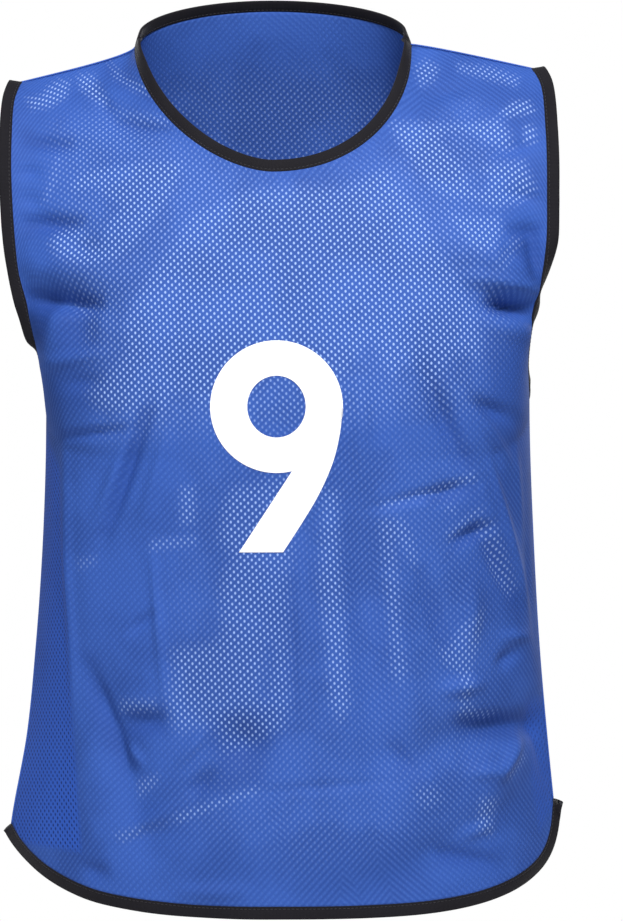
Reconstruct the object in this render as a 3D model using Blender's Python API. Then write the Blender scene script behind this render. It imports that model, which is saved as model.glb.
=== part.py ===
"""Sleeveless mesh training bib in its worn shape, hollow, as it hangs from a wearer's shoulders.

Units are metres and +Z is up. The front faces -Y, and +X is on the right of someone who looks at it.
The origin lies midway between the two points where the shoulder seams meet the neck edge.
"""

import bmesh
import bpy
import numpy as np

# Cloth and tape
CLOTH_WALL = 0.0012
SEAM_GAP = 0.0003
TAPE_GAP = 0.0005
TAPE_WIDTH = 0.0080
TAPE_THICKNESS = 0.0020

# Neck opening, measured to the cloth's edge
NECK_HALF_WIDTH = 0.110
NECK_SHIFT = -0.004
NECK_DROP = 0.1055
NECK_FORWARD = 0.078
NECK_FORWARD_BEND = 0.75
NECK_ROUNDNESS = {"left": 1.70, "right": 2.10}
NAPE_RISE = 0.0350
NAPE_BACK = 0.058

# Shoulder seams, and the share of a half panel's turn at which the neck edge ends
SHOULDER_DROP = 0.024
SHOULDER_DIP = {"left": 0.64, "right": 1.2}
SHOULDER_TILT = 0.006
TURN_AT_NECK = 0.52

# Body tube: how square its rings are, and how far its top line dips between the armpits
RING_SQUARENESS = 0.030
TOP_LINE_DIP = 0.050
TOP_LINE_BEND = 4

# Hem, a shirt tail that rises to the side seams
HEM_LENGTH = 0.677
HEM_RISE = {"left": 0.054, "right": 0.044}
HEM_BEND = {"left": 2.6, "right": 3.2}
HEM_CORNER_RISE = {"left": 0.000, "right": 0.030}
HEM_CORNER_BEND = 20
CORNER_FLARE = 0.75
CORNER_FLARE_TURN = 0.80

# Mesh counts for half a panel's top edge, and for the rows of the body tube and of the yoke above it
NECK_COLUMNS = 9
SHOULDER_COLUMNS = 8
BODY_ROWS = 17
YOKE_ROWS = 15
YOKE_SAMPLES = 90
RISE_STEP = 0.001
SEAM_BLEND = 3
EASE_PASSES = 12

# Rings of the body tube: half widths at each side, depths to each face, and how sharp the side seam's fold is
RING_COLUMNS = ("z", "left", "right", "front", "back", "crease")
RINGS = (
    (-0.720, 0.2225, 0.2320, 0.1275, 0.1200, 0.55),
    (-0.620, 0.2130, 0.2220, 0.1240, 0.1150, 0.48),
    (-0.550, 0.2005, 0.2150, 0.1200, 0.1090, 0.36),
    (-0.480, 0.1935, 0.2090, 0.1170, 0.1040, 0.22),
    (-0.400, 0.1880, 0.2045, 0.1150, 0.1010, 0.10),
    (-0.300, 0.1850, 0.2010, 0.1160, 0.1040, 0.00),
    (-0.240, 0.1850, 0.2010, 0.1150, 0.1060, 0.00),
)

# Cloth edge of the armholes from the shoulder tip down to the side seam
ARMHOLE_TABLE_COLUMNS = ("z", "left", "right", "front", "back")
ARMHOLE = (
    (-0.024, 0.2060, 0.2040, 0.000, 0.000),
    (-0.038, 0.2100, 0.2100, 0.022, 0.024),
    (-0.075, 0.2115, 0.2130, 0.042, 0.046),
    (-0.125, 0.2100, 0.2135, 0.054, 0.058),
    (-0.180, 0.2045, 0.2112, 0.058, 0.060),
    (-0.222, 0.1950, 0.2015, 0.053, 0.052),
    (-0.254, 0.1880, 0.1980, 0.041, 0.038),
    (-0.275, 0.1858, 0.2000, 0.021, 0.020),
    (-0.282, 0.1850, 0.2010, 0.000, 0.000),
)

# Direction in which the cloth reaches its top edge, in degrees by turn from the centre line: its lean from
# upright towards the seam plane on the front and the back, and its turn inwards to the neck
ARRIVAL_COLUMNS = ("turn", "front", "back", "inward")
ARRIVAL = (
    (0.00, 24, 30, 0),
    (0.26, 34, 34, 14),
    (0.52, 54, 46, 26),
    (0.76, 59, 54, 12),
    (1.00, 60, 56, 0),
)
PULL_AT_TUBE = 1.00
PULL_AT_EDGE = 0.60
ARMHOLE_PULL = 1.8

# Largest folds, placed as seen from the front: positive heights stand out of the cloth
FOLD_COLUMNS = ("x", "z", "length", "width", "angle", "height")
FRONT_FOLDS = (
    (-0.172, -0.182, 0.070, 0.013, -4, 0.0060),
    (-0.164, -0.205, 0.060, 0.012, -6, -0.0080),
    (-0.172, -0.232, 0.050, 0.012, 78, 0.0040),
    (0.182, -0.182, 0.080, 0.014, -30, 0.0060),
    (0.184, -0.209, 0.055, 0.012, -20, -0.0080),
    (0.186, -0.228, 0.040, 0.010, -8, 0.0045),
    (0.150, -0.549, 0.130, 0.018, 12, -0.0075),
    (0.176, -0.572, 0.070, 0.016, 62, 0.0060),
    (0.168, -0.380, 0.260, 0.012, -73, 0.0045),
    (-0.152, -0.470, 0.340, 0.018, -86, 0.0045),
    (-0.122, -0.560, 0.170, 0.016, -72, -0.0060),
    (-0.028, -0.480, 0.260, 0.026, -88, 0.0045),
    (0.012, -0.500, 0.280, 0.018, 88, -0.0050),
    (0.044, -0.470, 0.260, 0.018, -87, 0.0040),
    (0.072, -0.490, 0.220, 0.016, -86, -0.0045),
    (0.098, -0.450, 0.220, 0.018, -84, 0.0040),
    (-0.112, -0.066, 0.080, 0.014, -16, -0.0040),
    (-0.080, -0.640, 0.110, 0.018, 20, 0.0040),
    (0.120, -0.640, 0.120, 0.018, 28, -0.0050),
)
BACK_FOLDS = (
    (-0.166, -0.186, 0.080, 0.014, 10, 0.0060),
    (-0.162, -0.212, 0.060, 0.013, 6, -0.0075),
    (0.152, -0.190, 0.070, 0.014, -12, 0.0060),
    (0.146, -0.218, 0.056, 0.013, -6, -0.0070),
    (-0.118, -0.430, 0.300, 0.020, -80, 0.0055),
    (-0.078, -0.500, 0.320, 0.020, -86, -0.0060),
    (-0.036, -0.450, 0.300, 0.022, 88, 0.0045),
    (0.010, -0.520, 0.280, 0.020, 90, -0.0050),
    (0.056, -0.460, 0.320, 0.022, 86, 0.0055),
    (0.100, -0.500, 0.260, 0.018, 82, -0.0055),
    (0.140, -0.420, 0.280, 0.018, 78, 0.0050),
    (-0.090, -0.070, 0.100, 0.018, 64, -0.0035),
    (0.104, -0.080, 0.090, 0.018, -58, -0.0030),
    (0.020, -0.640, 0.140, 0.020, -14, 0.0045),
)
FOLD_FADE_AT_SEAMS = 4.5

# Places outside the openings, towards which their tapes stand
OUTSIDE = {
    "neck_tape": (0, 0, 0.2),
    "left_armhole_tape": (-0.5, 0, -0.13),
    "right_armhole_tape": (0.5, 0, -0.13),
}

BLUE_MESH = {"colour": (0.055, 0.140, 0.570, 1.0), "roughness": 0.62}
BLACK_TAPE = {"colour": (0.018, 0.018, 0.021, 1.0), "roughness": 0.80}

MERGE_DISTANCE = 0.000001
SHARP_ANGLE = 50

FRONT, BACK = -1, 1
FACE_NAMES = {FRONT: "front", BACK: "back"}


def column_of(table, names, name):
    """One named column of a table, as an array."""
    return np.array([row[names.index(name)] for row in table], float)


def smooth_through(knots, values, at):
    """A cubic curve through the values at ascending knots, read at any places between them."""
    slopes = np.gradient(values, knots)
    i = np.clip(np.searchsorted(knots, at) - 1, 0, len(knots) - 2)
    step = knots[i + 1] - knots[i]
    t = (at - knots[i]) / step
    return (
        values[i] * (1 + 2 * t) * (1 - t) ** 2
        + slopes[i] * step * t * (1 - t) ** 2
        + values[i + 1] * t**2 * (3 - 2 * t)
        + slopes[i + 1] * step * t**2 * (t - 1)
    )


def ring_size(name, z):
    """A size of the body tube at height z."""
    return smooth_through(column_of(RINGS, RING_COLUMNS, "z"), column_of(RINGS, RING_COLUMNS, name), z)


def by_side(turn, sizes):
    """The left or right value of a size, by which side of the centre line turn is on."""
    return np.where(turn < 0, sizes["left"], sizes["right"])


def tube_point(turn, z, face):
    """Point of the body tube. Turn is -1 at the left side seam, 0 at the centre line and 1 at the right seam."""
    angle = np.abs(turn) * np.pi / 2
    across = (np.sin(angle) + RING_SQUARENESS * np.sin(3 * angle)) / (1 - RING_SQUARENESS)
    deep = (np.cos(angle) - RING_SQUARENESS * np.cos(3 * angle)) / (1 - RING_SQUARENESS)
    crease = ring_size("crease", z)
    half = by_side(turn, {side: ring_size(side, z) for side in ("left", "right")})
    x = np.sign(turn) * half * ((1 - crease) * across + crease * np.abs(turn))
    y = face * ring_size(FACE_NAMES[face], z) * deep
    return np.stack([x, y, z], -1)


def hem_height(turn):
    """Height of the hem's cloth edge: lowest at the centre line, rising to the side seams."""
    size = np.abs(turn)
    curve = by_side(turn, HEM_RISE) * size ** by_side(turn, HEM_BEND)
    return -HEM_LENGTH + curve + by_side(turn, HEM_CORNER_RISE) * size**HEM_CORNER_BEND


def neck_edge(share, side, face):
    """Neck edge from the centre line, share 0, to the shoulder seam, share 1."""
    angle = share * np.pi / 2
    if face == FRONT:
        power = 2 / NECK_ROUNDNESS["left" if side < 0 else "right"]
        x = NECK_HALF_WIDTH * np.sin(angle) ** power
        y = -NECK_FORWARD * np.cos(angle) ** NECK_FORWARD_BEND
        z = -NECK_DROP * np.cos(angle) ** power
    else:
        x = NECK_HALF_WIDTH * np.sin(angle)
        y = NAPE_BACK * np.cos(angle)
        z = NAPE_RISE * np.cos(angle)
    return np.stack([NECK_SHIFT + side * x, y, z], -1)


def armhole_edge(share, side, face):
    """Armhole edge from the shoulder tip, share 0, to the side seam, share 1, evenly along its curve."""
    z, half, depth = (
        column_of(ARMHOLE, ARMHOLE_TABLE_COLUMNS, name)
        for name in ("z", "left" if side < 0 else "right", FACE_NAMES[face])
    )
    corners = np.stack([side * half, face * depth, z], -1)
    other_panel = np.array([1, -1, 1])
    corners = np.concatenate([corners[1:2] * other_panel, corners, corners[-2:-1] * other_panel])
    along = np.concatenate([[0], np.cumsum(np.linalg.norm(np.diff(corners, axis=0), axis=1))])
    at = along[1] + share * (along[-2] - along[1])
    return np.stack([smooth_through(along, corners[:, axis], at) for axis in range(3)], -1)


def shoulder_edge(share, side):
    """Shoulder seam from the neck, share 0, to the shoulder tip, share 1."""
    name = "left" if side < 0 else "right"
    tip = column_of(ARMHOLE, ARMHOLE_TABLE_COLUMNS, name)[0]
    neck_x = NECK_SHIFT + side * NECK_HALF_WIDTH
    x = neck_x + (side * tip - neck_x) * share
    return np.stack([x, 0 * share, -SHOULDER_DROP * share ** SHOULDER_DIP[name]], -1)


def top_edge(turn, face):
    """Points of a panel's top edge, which is the neck edge up to TURN_AT_NECK and then the shoulder seam."""
    points = np.zeros((len(turn), 3))
    size = np.abs(turn)
    for side in (-1, 1):
        here = (turn < 0) if side < 0 else (turn >= 0)
        neck = here & (size <= TURN_AT_NECK)
        seam = here & (size > TURN_AT_NECK)
        points[neck] = neck_edge(size[neck] / TURN_AT_NECK, side, face)
        points[seam] = shoulder_edge((size[seam] - TURN_AT_NECK) / (1 - TURN_AT_NECK), side)
    return points


def tilted(points):
    """Points with the left shoulder lowered and the right one raised, fading out down to the armpits."""
    armpit = column_of(ARMHOLE, ARMHOLE_TABLE_COLUMNS, "z")[-1]
    tip = column_of(ARMHOLE, ARMHOLE_TABLE_COLUMNS, "left")[0]
    fade = np.clip(1 - points[..., 2] / armpit, 0, 1)
    lift = SHOULDER_TILT * (points[..., 0] / tip) ** 3 * fade
    return points + lift[..., None] * np.array([0, 0, 1])


def eased(points):
    """Points of a panel with its yoke slackened: each pass draws inner points towards their neighbours' mean."""
    points = points.copy()
    ease = np.clip((np.arange(1, len(points) - 1) - BODY_ROWS) / YOKE_ROWS, 0, 1)[:, None, None]
    for _ in range(EASE_PASSES):
        mean = (points[:-2, 1:-1] + points[2:, 1:-1] + points[1:-1, :-2] + points[1:-1, 2:]) / 4
        points[1:-1, 1:-1] += (mean - points[1:-1, 1:-1]) * ease
    return points


def evened(path, rows):
    """Each column of a sampled path, read again at rows + 1 points an even distance apart."""
    steps = np.linalg.norm(np.diff(path, axis=0), axis=2)
    along = np.concatenate([np.zeros((1, path.shape[1])), np.cumsum(steps, axis=0)])
    result = np.empty((rows + 1, path.shape[1], 3))
    for column in range(path.shape[1]):
        wanted = np.linspace(0, along[-1, column], rows + 1)
        for axis in range(3):
            result[:, column, axis] = np.interp(wanted, along[:, column], path[:, column, axis])
    return result


def panel_turns():
    """Turns of a panel's columns, with one exactly at each end of the neck edge."""
    half = np.concatenate(
        [
            np.linspace(0, TURN_AT_NECK, NECK_COLUMNS + 1),
            np.linspace(TURN_AT_NECK, 1, SHOULDER_COLUMNS + 1)[1:],
        ]
    )
    return np.concatenate([-half[:0:-1], half])


def arrival(turn, face):
    """Unit directions in which a panel's columns reach its top edge."""
    knots = column_of(ARRIVAL, ARRIVAL_COLUMNS, "turn")
    lean, inward = (
        np.radians(smooth_through(knots, column_of(ARRIVAL, ARRIVAL_COLUMNS, name), np.abs(turn)))
        for name in (FACE_NAMES[face], "inward")
    )
    x = -np.sign(turn) * np.sin(inward)
    y = -face * np.sin(lean) * np.cos(inward)
    z = np.cos(lean) * np.cos(inward)
    return np.stack([x, y, z], -1)


def smooth_panel(turn, face):
    """Grid of points of a panel without folds: rows from hem to top edge, columns from left to right.

    Each column climbs the body tube from the hem to the tube's top line, which ends at the armpits. From there
    it follows one cubic curve to the top edge. The outermost columns are pulled onto the armhole's edge, and
    the others follow them by the ARMHOLE_PULL power of their turn.
    """
    armpit = column_of(ARMHOLE, ARMHOLE_TABLE_COLUMNS, "z")[-1]
    hem = hem_height(turn)
    top_line = armpit - TOP_LINE_DIP * (1 - np.abs(turn) ** TOP_LINE_BEND)
    levels = np.linspace(0, 1, BODY_ROWS + 1)[:, None]
    body = tube_point(turn[None, :], hem + (top_line - hem) * levels, face)

    low, high = body[-1], top_edge(turn, face)
    chord = np.linalg.norm(high - low, axis=1)[:, None]
    rise = low - tube_point(turn, top_line - RISE_STEP, face)
    start = rise / np.linalg.norm(rise, axis=1)[:, None] * chord * PULL_AT_TUBE
    end = arrival(turn, face) * chord * PULL_AT_EDGE
    share = np.linspace(0, 1, YOKE_SAMPLES)
    t = share[:, None, None]
    yoke = (
        low * (1 + 2 * t) * (1 - t) ** 2
        + start * t * (1 - t) ** 2
        + high * t**2 * (3 - 2 * t)
        + end * t**2 * (t - 1)
    )
    pulled = yoke.copy()
    for side, outermost in ((-1, 0), (1, -1)):
        here = side * turn > 0
        pull = armhole_edge(1 - share, side, face) - yoke[:, outermost]
        pulled[:, here] += pull[:, None] * (np.abs(turn[here]) ** ARMHOLE_PULL)[None, :, None]
    return eased(tilted(np.concatenate([body, evened(pulled, YOKE_ROWS)[1:]])))


def fold_height(points, folds):
    """Sum of the folds at each point: each is a bell across its line that tapers along it, placed by x and z."""
    total = np.zeros(points.shape[:-1])
    for row in folds:
        fold = dict(zip(FOLD_COLUMNS, row))
        direction = np.radians(fold["angle"])
        dx, dz = points[..., 0] - fold["x"], points[..., 2] - fold["z"]
        along = dx * np.cos(direction) + dz * np.sin(direction)
        across = dz * np.cos(direction) - dx * np.sin(direction)
        taper = np.cos(np.clip(along / fold["length"], -1, 1) * np.pi / 2) ** 2
        total += fold["height"] * taper * np.exp(-((across / fold["width"]) ** 2))
    return total


def outward(points, face):
    """Unit normals of a panel's grid, pointing out of the garment."""
    rows, columns = np.gradient(points, axis=(0, 1))
    normals = np.cross(columns, rows) * -face
    return normals / np.linalg.norm(normals, axis=-1, keepdims=True)


def flush_at_seams(front, back, turn):
    """Normals of both panels, shared and turned into the seam plane along the seams, so the walls meet flush.

    Along the neck and the armholes they turn back to the cloth's own within SEAM_BLEND points of a seam's end.
    """
    kept = np.ones(front.shape[:2])
    kept[-1] = (TURN_AT_NECK - np.abs(turn)) / TURN_AT_NECK * NECK_COLUMNS / SEAM_BLEND
    row = np.arange(YOKE_ROWS + 1)
    kept[BODY_ROWS:, [0, -1]] = (np.minimum(row, YOKE_ROWS - row) / SEAM_BLEND)[:, None]
    kept[:BODY_ROWS, [0, -1]] = 0
    kept = np.clip(kept, 0, 1)[..., None]
    shared = (front + back) * np.array([0.5, 0, 0.5])
    flush = [normals * kept + shared * (1 - kept) for normals in (front, back)]
    return [normals / np.linalg.norm(normals, axis=-1, keepdims=True) for normals in flush]


def panel(face, folds):
    """Grid of a panel's outer points with its folds, half a seam gap off the seam plane, and its normals."""
    turn = panel_turns()
    points = smooth_panel(turn, face)
    row = np.linspace(0, 1, len(points))[:, None]
    fade = (1 - np.abs(turn) ** FOLD_FADE_AT_SEAMS) * (1 - row**FOLD_FADE_AT_SEAMS)
    points = points + outward(points, face) * (fold_height(points, folds) * fade)[..., None]
    normals = outward(points, face)
    points[..., 1] += face * SEAM_GAP / 2
    return points, normals


def wall(name, outer, inner, closed, finish, collection):
    """Named closed wall between two grids of points, the outer one laid out first and extruded to the inner one.

    In a closed wall the first and last columns are the same points, and are merged before the extrusion.
    """
    rows, columns = outer.shape[:2]
    outer, inner = outer.reshape(-1, 3), inner.reshape(-1, 3)
    shape = bmesh.new()
    bmesh.ops.create_grid(shape, x_segments=columns - 1, y_segments=rows - 1, size=1)
    place = shape.verts.layers.int.new("place")
    for number, vert in enumerate(shape.verts):
        vert[place] = number
        vert.co = outer[number]
    if closed:
        bmesh.ops.remove_doubles(shape, verts=shape.verts, dist=MERGE_DISTANCE)
    extruded = bmesh.ops.extrude_face_region(shape, geom=shape.faces, use_keep_orig=True)
    for item in extruded["geom"]:
        if isinstance(item, bmesh.types.BMVert):
            item.co = inner[item[place]]
    shape.verts.layers.int.remove(place)
    bmesh.ops.recalc_face_normals(shape, faces=shape.faces)

    mesh = bpy.data.meshes.new(name)
    shape.to_mesh(mesh)
    shape.free()
    mesh.shade_smooth()
    mesh.set_sharp_from_angle(angle=np.radians(SHARP_ANGLE))
    material = bpy.data.materials.new(name)
    material.use_nodes = True
    shader = material.node_tree.nodes["Principled BSDF"]
    shader.inputs["Base Color"].default_value = finish["colour"]
    shader.inputs["Roughness"].default_value = finish["roughness"]
    shader.inputs["Metallic"].default_value = 0.0
    mesh.materials.append(material)
    collection.objects.link(bpy.data.objects.new(name, mesh))


def tape(name, edge, normals, out, closed, collection):
    """Flat tape that borders a cloth edge: a rectangle carried along the edge, a seam gap clear of the cloth."""
    middle = edge - normals * CLOTH_WALL / 2
    strip = np.stack([middle + out * TAPE_GAP, middle + out * (TAPE_GAP + TAPE_WIDTH)])
    half = normals * TAPE_THICKNESS / 2
    if closed:
        strip = np.concatenate([strip, strip[:, :1]], axis=1)
        half = np.concatenate([half, half[:1]])
    wall(name, strip + half, strip - half, closed, BLACK_TAPE, collection)


def across_edge(edge, normals, closed, away_from):
    """Unit directions that lie in the cloth, square to its edge, and point away from a place inside the panel."""
    if closed:
        along = np.roll(edge, -1, axis=0) - np.roll(edge, 1, axis=0)
    else:
        along = np.gradient(edge, axis=0)
    out = np.cross(along, normals)
    out /= np.linalg.norm(out, axis=1, keepdims=True)
    return out if np.sum(out * (edge - away_from)) > 0 else -out


def tape_ring(name, front, back, collection):
    """Closed tape round one opening, from the points and normals of its front and back edges."""
    edge = np.concatenate([front[0][:-1], back[0][:-1]])
    normals = np.concatenate([front[1][:-1], back[1][:-1]])
    edge[0, 1] = edge[len(front[0]) - 1, 1] = 0
    out = -across_edge(edge, normals, True, np.array(OUTSIDE[name]))
    tape(name, edge, normals, out, True, collection)


def hem_tape(name, points, normals, turn, collection):
    """Open tape along one hem. Its ends lie in the seam plane and stand out a little at the corners."""
    edge, normal = points[0], normals[0]
    out = across_edge(edge, normal, False, points.mean(axis=(0, 1)))
    flare = np.clip((np.abs(turn) - CORNER_FLARE_TURN) / (1 - CORNER_FLARE_TURN), 0, 1) ** 2
    out[:, 0] += np.sign(turn) * CORNER_FLARE * flare
    out[[0, -1], 1] = 0
    out /= np.linalg.norm(out, axis=1, keepdims=True)
    square = np.cross(np.gradient(edge, axis=0), out)
    square[[0, -1], 1] = 0
    square /= np.linalg.norm(square, axis=1, keepdims=True)
    square *= np.sign(np.sum(square * normal, axis=1, keepdims=True))
    tape(name, edge, square, out, False, collection)


def main():
    for old in list(bpy.data.objects):
        bpy.data.objects.remove(old)
    bib = bpy.data.collections.new("training_bib")
    bpy.context.scene.collection.children.link(bib)

    turn = panel_turns()
    front, front_normals = panel(FRONT, FRONT_FOLDS)
    back, back_normals = panel(BACK, BACK_FOLDS)
    front_normals, back_normals = flush_at_seams(front_normals, back_normals, turn)
    wall("front_panel", front, front - front_normals * CLOTH_WALL, False, BLUE_MESH, bib)
    wall("back_panel", back, back - back_normals * CLOTH_WALL, False, BLUE_MESH, bib)

    neck = np.flatnonzero(np.abs(turn) < TURN_AT_NECK + MERGE_DISTANCE)
    neck_back = neck[::-1]
    tape_ring(
        "neck_tape",
        (front[-1, neck], front_normals[-1, neck]),
        (back[-1, neck_back], back_normals[-1, neck_back]),
        bib,
    )
    up, down = np.arange(BODY_ROWS, len(front)), np.arange(len(front) - 1, BODY_ROWS - 1, -1)
    for outermost, name in ((0, "left_armhole_tape"), (-1, "right_armhole_tape")):
        tape_ring(
            name,
            (front[up, outermost], front_normals[up, outermost]),
            (back[down, outermost], back_normals[down, outermost]),
            bib,
        )
    hem_tape("front_hem_tape", front, front_normals, turn, bib)
    hem_tape("back_hem_tape", back, back_normals, turn, bib)


main()
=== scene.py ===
"""Dresses the training bib: net cloth panels, bound edges with stitches, seams and a printed number."""

import functools

import bmesh
import bpy
import numpy as np
from bpy.props import FloatProperty, FloatVectorProperty, PointerProperty
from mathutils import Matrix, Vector


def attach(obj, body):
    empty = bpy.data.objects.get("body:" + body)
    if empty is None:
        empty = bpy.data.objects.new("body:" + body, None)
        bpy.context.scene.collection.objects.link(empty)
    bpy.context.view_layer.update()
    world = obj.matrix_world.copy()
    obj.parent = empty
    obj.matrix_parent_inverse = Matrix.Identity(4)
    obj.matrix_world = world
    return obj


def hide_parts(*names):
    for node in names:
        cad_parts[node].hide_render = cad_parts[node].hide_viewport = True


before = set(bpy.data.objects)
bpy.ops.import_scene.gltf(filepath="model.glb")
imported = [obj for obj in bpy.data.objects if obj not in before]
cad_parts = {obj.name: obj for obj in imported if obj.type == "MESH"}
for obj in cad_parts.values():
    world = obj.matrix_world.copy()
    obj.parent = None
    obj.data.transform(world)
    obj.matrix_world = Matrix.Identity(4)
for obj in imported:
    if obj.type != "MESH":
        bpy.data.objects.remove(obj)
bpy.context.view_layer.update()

bl_info = {
    "name": "Mesh training bib",
    "version": (1, 0, 0),
    "blender": (4, 5, 0),
    "location": "View3D > Sidebar > Bib",
    "description": "Builds the cloth, bindings, stitching and number of a mesh training bib",
    "category": "Object",
}

# Unit of the tables of folds and outlines
MILLIMETRE = 0.001

# Which way each panel faces along y, and what it is called
FRONT, BACK = -1, 1
FACE_NAMES = {FRONT: "front", BACK: "back"}

# Cloth and tape of the solids
CLOTH_WALL = 0.0012
TAPE_GAP = 0.0005
TAPE_WIDTH = 0.0080

# Neck opening, measured to the cloth's edge
NECK_HALF_WIDTH = 0.110
NECK_SHIFT = -0.004
NECK_DROP = 0.1055
NECK_FORWARD = 0.078
NECK_FORWARD_BEND = 0.75
NECK_ROUNDNESS = {"left": 1.70, "right": 2.10}
NAPE_RISE = 0.0350
NAPE_BACK = 0.058

# Shoulder seams, and the share of a half panel's turn at which the neck edge ends
SHOULDER_DROP = 0.024
SHOULDER_DIP = {"left": 0.64, "right": 1.2}
SHOULDER_TILT = 0.006
TURN_AT_NECK = 0.52

# Body tube: how square its rings are, and how far its top line dips between the armpits
RING_SQUARENESS = 0.030
TOP_LINE_DIP = 0.050
TOP_LINE_BEND = 4

# Hem, a shirt tail that rises to the side seams
HEM_LENGTH = 0.677
HEM_RISE = {"left": 0.054, "right": 0.044}
HEM_BEND = {"left": 2.6, "right": 3.2}
HEM_CORNER_RISE = {"left": 0.000, "right": 0.030}
HEM_CORNER_BEND = 20
CORNER_FLARE = 0.75
CORNER_FLARE_TURN = 0.80

# Mesh counts of the solids, and how many times finer the cloth is
FINENESS = 6
NECK_COLUMNS = 9 * FINENESS
SHOULDER_COLUMNS = 8 * FINENESS
BODY_ROWS = 17 * FINENESS
YOKE_ROWS = 15 * FINENESS
YOKE_SAMPLES = 90 * FINENESS
RISE_STEP = 0.001
SEAM_BLEND = 8
EASE_PASSES = 12 * FINENESS**2

# Rings of the body tube: half widths at each side, depths to each face, and how sharp the side seam's fold is
RING_COLUMNS = ("z", "left", "right", "front", "back", "crease")
RINGS = (
    (-0.720, 0.2225, 0.2320, 0.1275, 0.1200, 0.55),
    (-0.620, 0.2130, 0.2220, 0.1240, 0.1150, 0.48),
    (-0.550, 0.2005, 0.2150, 0.1200, 0.1090, 0.36),
    (-0.480, 0.1935, 0.2090, 0.1170, 0.1040, 0.22),
    (-0.400, 0.1880, 0.2045, 0.1150, 0.1010, 0.10),
    (-0.300, 0.1850, 0.2010, 0.1160, 0.1040, 0.00),
    (-0.240, 0.1850, 0.2010, 0.1150, 0.1060, 0.00),
)

# Cloth edge of the armholes from the shoulder tip down to the side seam
ARMHOLE_TABLE_COLUMNS = ("z", "left", "right", "front", "back")
ARMHOLE = (
    (-0.024, 0.2060, 0.2040, 0.000, 0.000),
    (-0.038, 0.2100, 0.2100, 0.022, 0.024),
    (-0.075, 0.2115, 0.2130, 0.042, 0.046),
    (-0.125, 0.2100, 0.2135, 0.054, 0.058),
    (-0.180, 0.2045, 0.2112, 0.058, 0.060),
    (-0.222, 0.1950, 0.2015, 0.053, 0.052),
    (-0.254, 0.1880, 0.1980, 0.041, 0.038),
    (-0.275, 0.1858, 0.2000, 0.021, 0.020),
    (-0.282, 0.1850, 0.2010, 0.000, 0.000),
)

# Direction in which the cloth reaches its top edge, in degrees by turn from the centre line: its lean from
# upright towards the seam plane on the front and the back, and its turn inwards to the neck
ARRIVAL_COLUMNS = ("turn", "front", "back", "inward")
ARRIVAL = (
    (0.00, 24, 30, 0),
    (0.26, 34, 34, 14),
    (0.52, 54, 46, 26),
    (0.76, 59, 54, 12),
    (1.00, 60, 56, 0),
)
PULL_AT_TUBE = 1.00
PULL_AT_EDGE = 0.60
ARMHOLE_PULL = 1.8

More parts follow.
